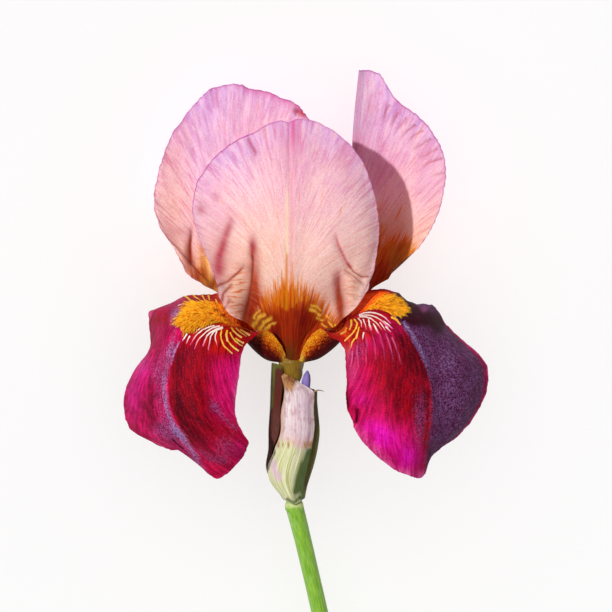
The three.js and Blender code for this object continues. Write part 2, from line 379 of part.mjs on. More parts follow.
const fallLeft = stripPetal(FALL_LEFT, EDGE_FALL_LEFT);
const fallRight = stripPetal(FALL_RIGHT, EDGE_FALL_RIGHT);
const fallBack = surface(FALL_BACK);
const upLeft = strip('fall_front_left', fallLeft, '#a3123f', new THREE.Vector3(0, 1, 0));
const upRight = strip('fall_front_right', fallRight, '#8e1145', new THREE.Vector3(0, 1, 0));
const upBack = strip('fall_back', fallBack, '#96123f', new THREE.Vector3(0, 1, 1));
beard('beard_front_left', fallLeft, upLeft, BEARD_LEFT);
beard('beard_front_right', fallRight, upRight, BEARD_RIGHT);
beard('beard_back', fallBack, upBack, BEARD_BACK);

for (const [name, net] of [['style_arm_left', STYLE_LEFT], ['style_arm_right', STYLE_RIGHT], ['style_arm_back', STYLE_BACK]]) {
  const half = (s) => (u, v) => s * STYLE_T * (0.6 + 0.4 * (1 - Math.abs(2 * v - 1))) / 2;
  add(name, skin(surface(net), even(10), even(4), half(-1), half(1)), '#f3c9a6', 0.6);
}
for (const [name, path] of [['stamen_left', STAMEN_LEFT], ['stamen_right', STAMEN_RIGHT], ['stamen_back', STAMEN_BACK]]) {
  add(name, rod(path, 6, 10), '#efe2c0', 0.7);
}
add('ovary_and_tube', rod(OVARY, 12, 14), '#7f8a35', 0.55);
for (const [name, net, color] of [['spathe_front', SPATHE_FRONT, '#e6d3cf'], ['spathe_back', SPATHE_BACK, '#5d6330']]) {
  const half = (s) => (u, v) => s * VALVE_T * (0.55 + 0.45 * (1 - Math.abs(2 * v - 1))) / 2;
  add(name, skin(surface(net), even(16), even(8), half(-1), half(1)), color, 0.65);
}
add('side_bud', rod(BUD, 10, 10), '#8f7fb4', 0.6);
add('stem', rod(STEM, STEM_SIDES, 20), '#86b23a', 0.5);

export default group;
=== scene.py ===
import bpy
import json
import math
import numpy as np
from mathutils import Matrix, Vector

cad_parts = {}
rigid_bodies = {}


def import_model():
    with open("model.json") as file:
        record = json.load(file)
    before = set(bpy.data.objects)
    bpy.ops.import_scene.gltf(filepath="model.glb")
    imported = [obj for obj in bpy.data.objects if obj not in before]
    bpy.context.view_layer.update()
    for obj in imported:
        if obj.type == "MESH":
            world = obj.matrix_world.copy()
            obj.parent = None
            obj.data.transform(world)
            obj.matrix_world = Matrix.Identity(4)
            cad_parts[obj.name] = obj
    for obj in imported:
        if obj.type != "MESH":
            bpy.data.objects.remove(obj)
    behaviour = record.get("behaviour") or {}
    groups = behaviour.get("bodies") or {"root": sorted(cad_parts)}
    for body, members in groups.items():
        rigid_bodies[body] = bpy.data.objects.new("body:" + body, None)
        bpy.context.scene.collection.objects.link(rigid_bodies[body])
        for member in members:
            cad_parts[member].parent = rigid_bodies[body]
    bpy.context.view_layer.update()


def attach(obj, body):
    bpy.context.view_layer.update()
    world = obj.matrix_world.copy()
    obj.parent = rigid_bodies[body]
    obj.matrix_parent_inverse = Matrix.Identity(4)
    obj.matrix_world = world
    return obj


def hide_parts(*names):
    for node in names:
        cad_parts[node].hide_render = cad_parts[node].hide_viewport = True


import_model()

# ---------------------------------------------------------------- frame
# The petals are drawn as control nets of [across, down, depth towards the viewer] in drawing units,
# the same nets the CAD part uses, and placed in metres in the CAD part's frame.
UNIT = 0.4e-3
EYE = 2250.0
AXIS_HEIGHT = 118.0
CX = CY = 306.0
SHIFT = np.array([0.0127, 55.9057, -0.5736]) * 1e-3
FINE = 1.0

STD_FRONT = [
  [[288.4,360,10], [277,343,17], [261.5,331,30], [246,322,48], [229,313.5,56], [219,296.5,39]],
  [[288.9,360,10.2], [279,338,16], [259,315,31], [236,296,41], [220,278,38], [205,254,28]],
  [[289.6,360,10.5], [281,337,19], [258,305,36], [231,268,45], [211,240,42], [193,207,32]],
  [[290.3,360,10.7], [284,336,22], [265,300,43], [239,252,56], [216,208,54], [203,172,40]],
  [[291.1,360,10.9], [287,335,24], [275,298,48], [256,245,64], [238,190,65], [229,146,48]],
  [[292.1,360,11], [290,335,25], [284,297,50], [275,240,68], [265,183,71], [260,127,52]],
  [[293,360,11], [292,335,26], [291,297,51], [291,240,70], [290,183,73], [288,122,55]],
  [[293.9,360,11], [294,335,25], [298,297,50], [306,240,68], [314,183,70], [318,122,52]],
  [[294.9,360,10.9], [297,335,24], [308,298,48], [326,247,66], [341,196,67], [351,146,55]],
  [[295.7,360,10.7], [300,336,22], [318,300,43], [342,258,59], [360,220,59], [371,180,50]],
  [[296.4,360,10.5], [303,337,19], [326,305,36], [348,272,51], [366,248,51], [378,216,43]],
  [[297.1,360,10.2], [305,338,16], [330,313,31], [347,297,46], [363,278,45], [377,252,38]],
  [[297.6,360,10], [309,342,17], [324,330,30], [341,319.5,46], [355,308,50], [366.5,290,43]],
]
STD_LEFT = [
  [[282.3,360,-2], [271,345,-16], [257,328,-28], [244,311,-38], [229,297,-44], [205,286,-44]],
  [[282.5,360,-2.6], [268,341,-19], [249,319,-36], [230,299,-52], [208,283,-58], [182,262,-58]],
  [[282.8,360,-3.4], [267,338,-21], [240,312,-44], [212,284,-64], [186,258,-72], [158,222,-70]],
  [[283.2,360,-4.2], [267,335,-24], [238,303,-54], [206,266,-78], [176,222,-84], [154,182,-80]],
  [[283.6,360,-5], [268,332,-26], [238,295,-62], [207,248,-87], [184,194,-92], [168,143,-84]],
  [[284,360,-5.7], [270,330,-28], [240,288,-68], [214,232,-92], [202,168,-94], [196,101,-84]],
  [[284.5,360,-6.4], [272,329,-30], [244,284,-71], [226,224,-95], [222,155,-94], [221,85,-82]],
  [[285,360,-7.1], [274,329,-31], [250,283,-73], [240,222,-96], [244,152,-93], [250,88,-82]],
  [[285.5,360,-7.7], [277,329,-32], [257,284,-74], [256,225,-96], [267,158,-91], [279,94,-80]],
  [[286,360,-8.3], [280,330,-33], [265,288,-73], [273,234,-94], [289,172,-88], [305,112,-78]],
  [[286.4,360,-8.8], [283,332,-33], [273,294,-70], [287,246,-88], [304,195,-84], [319,142,-76]],
  [[286.8,360,-9.2], [286,334,-32], [280,301,-64], [294,262,-79], [310,222,-77], [322,182,-72]],
  [[287.1,360,-9.5], [287,337,-29], [285,312,-55], [295,284,-67], [305,258,-68], [314,228,-66]],
]
STD_RIGHT = [
  [[298.9,360,-9.5], [301,337,-30], [312,316,-54], [326,298,-72], [340,284,-84], [352,272,-92]],
  [[299.4,360,-9], [303,333,-34], [318,304,-67], [338,276,-92], [356,252,-102], [370,236,-108]],
  [[300,360,-8.5], [306,330,-35], [324,292,-70], [345,252,-96], [364,212,-108], [379,186,-112]],
  [[300.6,360,-7.8], [308,328,-33], [328,284,-65], [348,230,-92], [365,176,-104], [380,140,-108]],
  [[301.3,360,-7.1], [311,326,-29], [332,277,-57], [349,210,-79], [360,150,-90], [371,100,-93]],
  [[301.8,360,-6.4], [313,326,-26], [335,272,-50], [350.5,205,-64], [353.5,135,-61], [359,72,-52]],
  [[302.2,360,-5.7], [315,327,-24], [339,277,-48], [360,210,-64], [368,140,-61], [379,73,-48]],
  [[302.6,360,-5], [318,328,-22], [345,282,-48], [371,226,-66], [387,163,-64], [400,102,-46]],
  [[302.9,360,-4.4], [320,330,-22], [350,290,-48], [381,243,-64], [405,188,-60], [430,128,-40]],
  [[303.1,360,-3.9], [321,333,-21], [353,299,-46], [386,260,-59], [416,213,-53], [446,162,-32]],
  [[303.3,360,-3.4], [321,336,-20], [352,306,-44], [385,275,-54], [413,240,-48], [441,206,-30]],
  [[303.5,360,-2.7], [318,339,-19], [343,313,-42], [369,289,-52], [396,268,-47], [424,240,-34]],
  [[303.7,360,-2], [316,342,-17], [335,321,-38], [351,305,-50], [367,292,-52], [389,279,-46]],
]
FALL_LEFT = [
  [[282,360.5,1.2], [282.6,361.2,3.4], [283.6,361.2,5.7], [285.1,360.8,7.8], [286.5,360.2,9]],
  [[268,350,-3], [264.5,356,3.5], [266.5,357.5,16], [274,351.5,23], [280.5,344,27]],
  [[257,321,-11], [246,335,3], [248,341.5,25], [257,336,37], [265.5,329.5,41]],
  [[243,303,-13], [235,314,12], [238,325,37], [245.5,332,48], [254,337.5,53]],
  [[218,293,-12], [221,302,20], [224,319,49], [238.5,331,62], [246.5,343.5,65]],
  [[191,294,-9], [202,301,27], [209,313,57], [228,329,71], [243,351,73]],
  [[172,302,-7], [183,302,33], [193,313,67], [215,335,82], [241,366,81]],
  [[149,312,-3], [163,312,39], [177,324,75], [205,350,91], [239,378,83]],
  [[148.5,343,3], [156,337,45], [169,347,79], [199,372,95], [236,392,83]],
  [[130,377,9], [142,374,51], [165,377,81], [198,399,96], [234.5,411,80]],
  [[122.5,405,15], [140,407,53], [164,411,81], [203,424,94], [240,428,77]],
  [[130,429,23], [151,436,55], [181,442,74], [218,449,86], [248,440,72]],
  [[151,443,31], [182,451,56], [216,478,60], [235,466,70], [248,449,67]],
]
FALL_RIGHT = [
  [[304,360.5,1.2], [303.4,361.2,3.4], [302.4,361.2,5.7], [300.9,360.8,7.8], [299.5,360.2,9]],
  [[318,350,-3], [322,354.5,3.5], [319.5,356,16], [311.5,351.5,23], [305.3,344,27]],
  [[332,320,-12], [341,333,3], [339,341,25], [328.5,336,37], [319.5,329,41]],
  [[345,300,-15], [350.5,311,9], [346,325,36], [338.5,332.5,47], [331.5,337.5,53]],
  [[366,290,-15], [366,301,17], [359,318,48], [349,329,62], [339,341,65]],
  [[384,288,-12], [384,296,25], [374,312,56], [360,330,71], [344,351,74]],
  [[400,292,-9], [399,299,32], [390,312,66], [371,335,82], [345.5,368,82]],
  [[421,303,-5], [417,307,39], [405,321,74], [382,351,92], [346.5,384,90]],
  [[443,318,1], [434,324,46], [418,342,79], [388,374,99], [346,401,97]],
  [[466,343,7], [450,348,51], [426,370,82], [391,403,102], [352,421,103]],
  [[488.5,374,13], [466,381,55], [433,402,83], [400,431,103], [363,442,104]],
  [[479,411,22], [459,424,57], [433,439,79], [409,456,96], [380,459,100]],
  [[456,438,32], [441,451,56], [426,473,70], [412,478,82], [394,470,93]],
]
FALL_BACK = [
  [[288.6,360,-10.1], [290.5,360.6,-10.9], [293,361,-11.2], [295.5,360.6,-10.9], [297.4,360,-10.1]],
  [[284,350,-30], [288,356,-29], [293,358,-28], [298,356,-29], [302,350,-30]],
  [[276,342,-58], [283,353,-56], [292,357,-54], [301,353,-56], [309,342,-58]],
  [[264,330,-86], [276,343,-86], [291,349,-84], [306,343,-86], [320,330,-88]],
  [[250,312,-106], [268,322,-108], [290,328,-108], [312,322,-108], [332,312,-106]],
  [[236,285,-113], [262,290,-114.5], [290,294,-114.5], [316,290,-114.5], [342,285,-113]],
  [[228,250,-114], [258,252,-115], [291,254,-115], [320,252,-115], [347,252,-114.5]],
  [[229,215,-113.5], [259,215,-115], [292,215,-115], [322,215,-115], [347,217,-115]],
  [[240,186,-113], [266,182,-114.5], [294,179,-115], [320,182,-115], [342,188,-115]],
  [[262,166,-111.5], [278,161,-113], [295,158,-114], [313,161,-114.5], [328,168,-114.5]],
]
STYLE_LEFT = [
  [[289.8,360,-2.6], [288.8,360,0], [289.8,360,2.6]],
  [[281.5,344,-3], [280,342,0.5], [281.5,344,4]],
  [[268,325,-4], [265.5,321,1.5], [268,325,7]],
  [[254,310,-6.5], [250.5,305,2], [254,310,10]],
  [[241,300,-9], [238,295,1], [241,300,11]],
  [[236,293,-9], [236,295,1], [236,292,11]],
]
STYLE_RIGHT = [
  [[296.2,360,2.6], [297.2,360,0], [296.2,360,-2.6]],
  [[304.5,344,4], [306,342,0.5], [304.5,344,-3]],
  [[318,325,7], [320.5,321,1.5], [318,325,-4]],
  [[332,310,10], [335.5,305,2], [332,310,-6.5]],
  [[345,300,11], [348,295,1], [345,300,-9]],
  [[350,292,11], [350,295,1], [350,293,-9]],
]
STYLE_BACK = [
  [[290.4,360,-4.2], [293,360,-5], [295.6,360,-4.2]],
  [[289.8,346,-9], [293,345,-11], [296.2,346,-9]],
  [[288.5,328,-18], [293,325,-21], [297.5,328,-18]],
  [[286.5,314,-30], [293,309,-33], [299.5,314,-30]],
  [[285,306,-41], [293,300,-44], [301,306,-41]],
  [[286,302,-46], [293,300,-46], [300,302,-46]],
]
SPATHE_FRONT = [
  [[284.3,499.5,3], [288.5,502,8.3], [294,504.3,11.3], [299.5,502,8.3], [303.6,498.5,3]],
  [[271,482,2], [277,483,11], [286,483,15], [295,482,12], [304.5,481,4]],
  [[268.3,467,-1], [275,467,12], [287,466,17], [299,464,13], [308.5,463,4]],
  [[274,451,-1], [282,449,12], [293,448,17], [303.5,447,13], [311.8,446,4]],
  [[280.5,434,2], [286,432,13], [296,431,17], [306.5,430,13], [314.4,430,3.5]],
  [[281,414,3.5], [286,412,13], [296,411,16.5], [306,411,12.5], [313.6,411.5,3.5]],
  [[283.5,398,6], [287,397,13], [295,396,16], [305.5,395,13], [313.8,398,4.5]],
  [[284,387,8], [286,384,13], [291,383,14.5], [299,386,12.7], [312.8,390.8,6.5]],
  [[281.8,376,10.5], [284.5,374,12], [288.5,375.5,12.7], [293,378,12.5], [300,382.5,11.5]],
]
SPATHE_BACK = [
  [[284,499,-2.5], [283.3,499,-6], [287,500.5,-11.5], [299,500.5,-12], [304.6,498,-6], [304.3,497.5,-2]],
  [[275,484,-4], [274.3,485,-8], [281,486,-14.5], [296,486,-14.5], [307.2,485,-8], [306,483.5,-2.5]],
  [[269.5,468,-5], [266.6,468,-9], [276,470,-17], [297,470,-17.5], [312.8,467,-9], [311.2,466,-2.5]],
  [[272.5,450,-5], [268.6,449,-10], [277,450,-19], [299,450,-19], [316.8,450,-10], [315.4,448,-2.5]],
  [[279,432,-3.5], [268.8,430,-9], [277,431,-19], [300,431,-19.5], [319,431,-10], [317.6,430,-3]],
  [[280.5,407,-1.5], [270.4,405,-8], [277,407,-18], [299,408,-19], [317.2,409,-10], [316,411,-3]],
  [[282.6,386,4.5], [271.2,382,-5], [276.5,385,-17], [297,393,-19], [316.4,399,-9.5], [315,400,-2.5]],
  [[283,366,9.3], [272.2,363.4,-3.5], [276,369,-13], [293,382,-17.5], [316.3,391,-8], [313.8,391.5,-2]],
]
STAMEN_LEFT = [[286,360,1.9,1.2], [273,349,4,1.2], [262,335,6,1.2], [257,329,6.5,2], [246,317,7,1.6]]
STAMEN_RIGHT = [[300,360,1.9,1.2], [313,349,4,1.2], [324,335,6,1.2], [329,329,6.5,2], [340,317,7,1.6]]
STAMEN_BACK = [[293,360,-8,1.2], [293,348,-19,1.2], [293,338,-31,1.2], [293,333,-37,2], [293,322,-48,1.6]]
OVARY = [[294.6,364.4,0,14], [294.6,367,0,13], [294,370.5,-0.5,11.2], [293,375,-1,9.3], [292,382,-2,7.6], [291,395,-2,7], [290,420,-1.5,7.2],
  [289.5,445,-1,7.2], [290,470,-1,7], [292,488,-1,6], [293,496,-1,5.5]]
BUD = [[307.6,370.5,3,0.8], [307,375,3,3.3], [306.2,381,2.5,4.6], [305.2,392,1,4.7], [304.2,410,-0.5,4.6], [302.7,440,-0.5,3.8], [301.5,468,-0.5,2.8]]
STEM = [[293.5,497,-1,6.2], [293.5,500.5,-1,7], [293.7,503.6,-1,8.6], [294.2,506,-1.4,9.4], [295.2,509,-2.2,8.9], [302.6,538,-14.5,8.4], [311.8,577,-31,8.3],
  [321,617,-47.5,8.3], [332,665,-64.5,8.4], [343,714,-81,8.6], [354,762,-96.5,8.8], [362,800,-107.8,9]]
EDGE_STD_FRONT = [[0,0], [1.5,-1], [2.6,-0.6], [1.8,-0.8], [0.7,-0.3], [-0.3,0.1], [-0.6,0.2], [-0.9,0.1], [-0.7,-0.1], [0.1,0], [-0.1,0], [-1,-0.3], [0.6,0.5],
  [0.2,0.1], [-0.6,-0.7], [-0.5,-0.6], [-0.3,-0.5], [0,-0.1], [0.4,1.2], [1.5,2.2], [0.8,1.2], [0,0], [-0.6,-1.4], [0.4,-1.7], [1,1], [-0.5,-1.9],
  [0.3,-1.4], [0,0.2], [-0.2,0.6], [-0.3,0.6], [0.1,-0.3], [-0.2,0.2], [0,0], [-0.1,0.1], [0.3,-0.1], [-0.5,0.2], [-1,0.3], [-1.3,0.4], [-0.7,0.2],
  [-0.3,0], [0.1,0], [0.2,0], [0.3,0], [-0.2,0], [-0.1,0], [0.4,0.1], [1.2,0.8], [0.9,0.2], [1.5,-1]]
EDGE_STD_LEFT = [[0,0.1], [-0.7,1], [-1.4,2.3], [-2.6,1.3], [-0.8,0.4], [1.1,-0.5], [1.5,-1], [0.1,-0.1], [-0.1,0], [-0.2,0], [0.3,0], [1.2,0.2], [2.1,0.4], [2,0.4],
  [1.6,0.7], [1.6,0.7], [0.3,0.1], [-0.9,-0.6], [0.4,0.5], [0.2,0.2], [1,1], [0.7,0.7], [-0.1,-0.3], [0.3,1.2], [0.5,1.6], [0.1,0.2], [0,-1.1],
  [1,-1.6], [-1.4,1.1], [-0.2,1], [-0.3,1.5], [-0.7,1.5], [-1,2.2], [-0.7,2.1], [-0.1,0.4], [-0.1,0.1], [-1.2,1], [-0.6,0.5], [0,0], [0,0], [0,0],
  [0,0], [0,0], [0,0], [0,0], [0,0], [0,0], [0,0], [0,0]]
EDGE_STD_RIGHT = [[0,0], [0,0], [0,0], [0,0], [0,0], [0,0], [0,0], [0,0], [0,0], [0,0], [0,0], [0,0], [0,0], [0,0], [0,0], [0,0], [0,0], [0,0], [0,0], [0,0],
  [-0.1,-1.1], [0.1,1], [-0.3,1.2], [-0.4,1.6], [-0.2,0.4], [-0.5,0.2], [-1.6,1], [-1.4,1], [-0.4,0.6], [0.2,-0.3], [0.3,-0.4], [0.3,-0.2], [-0.5,0.4],
  [-0.6,0.4], [-0.4,0.2], [-0.8,0.2], [-1.1,0.2], [-0.8,-0.1], [-0.9,-0.1], [-0.6,-0.1], [-0.5,-0.1], [-0.4,-0.2], [-0.6,-0.3], [-0.2,-0.1], [0,0],
  [0.3,0.2], [-0.8,-1.1], [-3,-1.8], [-0.7,-0.4]]
EDGE_FALL_LEFT = [
  [[0,0], [0,0], [0,0], [0,0], [0,0], [0,0], [0,0], [0,0], [0,0], [0,0], [0,0], [0,0], [0,0], [0,0], [0,0], [0,0], [0,0], [0,2.7], [0,2.6], [0,2],
  [0,1], [0.1,0.6], [0,0], [0.2,0.4], [0.3,0.7], [0.5,1.1], [0.8,2], [0.8,2], [0,0], [1.5,0], [1,0], [0.8,-0.1], [2.5,0.3], [2.5,2.4], [1.4,1.1],
  [0.8,0.6], [0.8,0.4], [0.2,0.1], [0.6,0.1], [1.1,0.2], [1.1,-0.1], [1.4,-0.2], [0.8,-0.3], [0.9,-0.4], [0,0], [0.8,-1.6], [1.1,-2.2], [1.1,-1.7],
  [0.9,-1.4]],
  [[0,0], [0,0], [0,0], [0,0], [0,0], [0,0], [0,0], [0,0], [0,0], [0,0], [0,0], [0,0], [0,0], [0,0], [0,0], [0,0], [0,0], [0,0], [-0.4,0.3],
  [-0.2,-0.1], [-0.4,-0.2], [-1,-0.4], [-1.2,-0.1], [-1.2,-0.1], [-1.1,-0.1], [-1,-0.1], [-0.8,-0.1], [-0.7,-0.1], [-0.6,-0.1], [-0.4,-0.1], [-0.1,0],
  [0.2,0], [0.3,0], [0.4,0], [0.6,0.1], [0.6,0], [0,0], [0.2,0], [-0.1,0], [-0.1,0.1], [0.2,-0.1], [0,0], [-0.5,0.3], [-0.6,0.4], [-0.3,0.2], [0.2,0.1],
  [-0.4,-0.2], [-0.8,-0.3], [-1.4,-0.5]],
  [[0.9,-1.4], [-0.7,1.3], [0,3.1], [0.5,-0.7], [0.7,-0.7], [0.2,-0.2], [-0.2,0.6], [-0.7,-1.3], [-0.2,-0.2], [0,0], [0.1,0], [-0.1,-0.1], [-1.4,-0.5]],
]
EDGE_FALL_RIGHT = [
  [[0,0], [0,0], [0,0], [0,0], [0,0], [0,0], [0,0], [0,0], [0,0], [0,0], [0,0], [0,0], [0,0], [0,0], [0,0], [0,0], [2,1], [0.3,1.8], [0.3,1.8],
  [0.2,1.4], [-0.3,1.4], [-0.4,1.9], [-0.5,2], [-0.4,1.8], [-1,1], [-2.6,2.4], [-4.1,3.8], [0.4,4.7], [0,1], [0.1,-1.8], [0.3,-4.8], [1.5,-0.7],
  [-1.2,0.6], [-2,1.9], [-2,1.9], [-1.1,1.2], [-0.1,0.1], [0.7,-0.7], [1.4,-1.5], [1.4,-0.2], [-0.9,0.1], [-1.3,-0.1], [-0.2,0], [-0.5,-0.3],
  [-1.2,-0.7], [-0.7,-0.4], [-0.1,-0.1], [0,0], [0,0]],
  [[0,0], [0,0], [0,0], [0,0], [0,0], [0,0], [0,0], [0,0], [0,0], [0,0], [0,0], [0,0], [0,0], [0,0], [0,0], [0,0], [0,0], [0,0], [0,0], [1.9,1.1],
  [1.1,-0.1], [0.7,0], [0.5,0], [0.5,0], [0.5,0], [0.5,0], [0.4,0], [0.5,0], [0.4,0], [0.2,0], [0.3,0], [0.4,0], [0.6,-0.1], [0.2,0], [-0.5,0.1],
  [0.4,-0.4], [1,0.4], [-0.7,0.4], [-0.2,0.1], [0,0], [0,0], [0.4,-0.4], [0.4,-0.4], [0.2,-0.2], [0.1,-0.1], [0.3,-0.4], [0.3,-0.4], [0.3,-0.3],
  [0.3,-0.3]],
  [[0,0], [-0.4,-0.7], [-1,-1.2], [-1.5,-1.9], [-4.5,-2.1], [-3.5,-1.6], [-0.6,-0.1], [0.1,1], [0,0], [0.5,-1.5], [0.6,-1.7], [0.2,-0.7], [0.3,-0.3]],
]

# ---------------------------------------------------------------- numbers
def ease(x, a=0.0, b=1.0):
    t = np.clip((np.asarray(x, float) - a) / (b - a), 0, 1)
    return t * t * (3 - 2 * t)


def bell(x, w):
    return np.exp(-(np.asarray(x, float) / w) ** 2)


def blob(x, y, cx, cy, rx, ry, turn=0.0):
    c, s = math.cos(math.radians(turn)), math.sin(math.radians(turn))
    a, b = (x - cx) * c + (y - cy) * s, -(x - cx) * s + (y - cy) * c
    return np.exp(-((a / rx) ** 2 + (b / ry) ** 2))


def lattice(x, y, seed):
    """Smooth value noise in 0..1, the same on every run."""
    table = np.random.RandomState(seed).rand(256, 256)
    x, y = np.asarray(x, float), np.asarray(y, float)
    i, j = np.floor(x).astype(int), np.floor(y).astype(int)
    f, g = x - i, y - j
    f, g = f * f * (3 - 2 * f), g * g * (3 - 2 * g)
    i0, i1, j0, j1 = i % 256, (i + 1) % 256, j % 256, (j + 1) % 256
    return (table[i0, j0] * (1 - f) + table[i1, j0] * f) * (1 - g) + (table[i0, j1] * (1 - f) + table[i1, j1] * f) * g


def waves(x, y, seed, octaves=3):
    total, amp, norm = 0.0, 1.0, 0.0
    for k in range(octaves):
        total = total + amp * (lattice(x * 2 ** k, y * 2 ** k, seed + k) - 0.5)
        norm += amp
        amp *= 0.5
    return 2 * total / norm


def along(x, y, line):
    """Distance to a polyline, the side (+ right of its direction) and how far along it, 0 to 1."""
    line = np.asarray(line, float)
    best = np.full(np.shape(x), 1e9)
    side, where = np.zeros(np.shape(x)), np.zeros(np.shape(x))
    lens = np.hypot(*(line[1:] - line[:-1]).T)
    start = np.concatenate([[0], np.cumsum(lens)]) / lens.sum()
    for k in range(len(line) - 1):
        a, d = line[k], line[k + 1] - line[k]
        t = np.clip(((x - a[0]) * d[0] + (y - a[1]) * d[1]) / (d @ d), 0, 1)
        qx, qy = x - a[0] - t * d[0], y - a[1] - t * d[1]
        r = np.hypot(qx, qy)
        new = r < best
        best = np.where(new, r, best)
        side = np.where(new, np.sign(d[0] * qy - d[1] * qx), side)
        where = np.where(new, start[k] + t * (start[k + 1] - start[k]), where)
    return best, side, where


def ends(t, a=0.15, b=0.15):
    return ease(t, 0, a) * ease(1 - t, 0, b)


# ---------------------------------------------------------------- surfaces
def _padded(net):
    p = np.asarray(net, float)
    p = np.concatenate([2 * p[:1] - p[1:2], p, 2 * p[-1:] - p[-2:-1]], 0)
    return np.concatenate([2 * p[:, :1] - p[:, 1:2], p, 2 * p[:, -1:] - p[:, -2:-1]], 1)


def _weights(n, t):
    x = np.clip(t, 0, 1) * (n - 1)
    i = np.minimum(np.floor(x).astype(int), n - 2)
    f = x - i
    w = np.stack([-0.5 * f + f * f - 0.5 * f ** 3, 1 - 2.5 * f * f + 1.5 * f ** 3,
                  0.5 * f + 2 * f * f - 1.5 * f ** 3, -0.5 * f * f + 0.5 * f ** 3], -1)
    m = np.zeros((len(x), n + 2))
    for k in range(4):
        m[np.arange(len(x)), i + k] += w[:, k]
    return m


def surface(net, u, v):
    p = _padded(net)
    return np.einsum("ai,ijk,bj->abk", _weights(len(net), np.asarray(u, float)), p, _weights(len(net[0]), np.asarray(v, float)))


def fan_petal(net, edge, u, v):
    g, e = surface(net, u, v), np.asarray(edge, float)
    at = np.linspace(0, 1, len(e))
    for k in range(2):
        g[..., k] += np.interp(u, at, e[:, k])[:, None] * ease((np.asarray(v) - 0.5) / 0.5)[None, :]
    return g


def strip_petal(net, edges, u, v):
    g = surface(net, u, v)
    left, right, tip = (np.asarray(e, float) for e in edges)
    a, b = np.linspace(0, 1, len(left)), np.linspace(0, 1, len(tip))
    u, v = np.asarray(u, float), np.asarray(v, float)
    wl, wr, wu = (1 - v) ** 2, v ** 2, ease((u - 0.8) / 0.2)
    for k in range(2):
        g[..., k] += np.interp(u, a, left[:, k])[:, None] * wl + np.interp(u, a, right[:, k])[:, None] * wr
        g[..., k] += wu[:, None] * (np.interp(v, b, tip[:, k]) - wl * tip[0, k] - wr * tip[-1, k])[None, :]
    return g


def world(p):
    s = (EYE - p[..., 2]) / EYE * UNIT
    return np.stack([(p[..., 0] - CX) * s, (CY - p[..., 1]) * s, (p[..., 2] + AXIS_HEIGHT) * UNIT], -1) + SHIFT


def normals(p):
    a, b = np.gradient(p, axis=0), np.gradient(p, axis=1)
    n = np.cross(a, b)
    return n / np.maximum(np.linalg.norm(n, axis=-1, keepdims=True), 1e-12)


# ---------------------------------------------------------------- meshes
def make_mesh(name, verts, quads, attrs=None, uv=None, tris=None):
    me = bpy.data.meshes.new(name)
    verts = np.asarray(verts, float).reshape(-1, 3)
    quads = np.asarray(quads, int).reshape(-1, 4)
    tris = np.zeros((0, 3), int) if tris is None else np.asarray(tris, int).reshape(-1, 3)
    me.vertices.add(len(verts))
    me.vertices.foreach_set("co", verts.ravel())
    loops = np.concatenate([quads.ravel(), tris.ravel()])
    me.loops.add(len(loops))
    me.loops.foreach_set("vertex_index", loops)
    me.polygons.add(len(quads) + len(tris))
    me.polygons.foreach_set("loop_start", np.concatenate([np.arange(len(quads)) * 4, len(quads) * 4 + np.arange(len(tris)) * 3]))
    me.update(calc_edges=True)
    me.polygons.foreach_set("use_smooth", np.ones(len(me.polygons), bool))
    if uv is not None:
        for layer, value in (uv if isinstance(uv, dict) else {"veins": uv}).items():
            me.uv_layers.new(name=layer).data.foreach_set("uv", np.asarray(value, float).reshape(-1, 2)[loops].ravel())
    for key, value in (attrs or {}).items():
        me.attributes.new(key, "FLOAT", "POINT").data.foreach_set("value", np.asarray(value, float).ravel())
    me.validate()
    me.update()
    return me


def place(name, me, material, node=None):
    ob = bpy.data.objects.new(name, me)
    bpy.context.scene.collection.objects.link(ob)
    if material is not None:
        me.materials.append(material)
    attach(ob, "root")
    if node:
        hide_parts(node)
    return ob


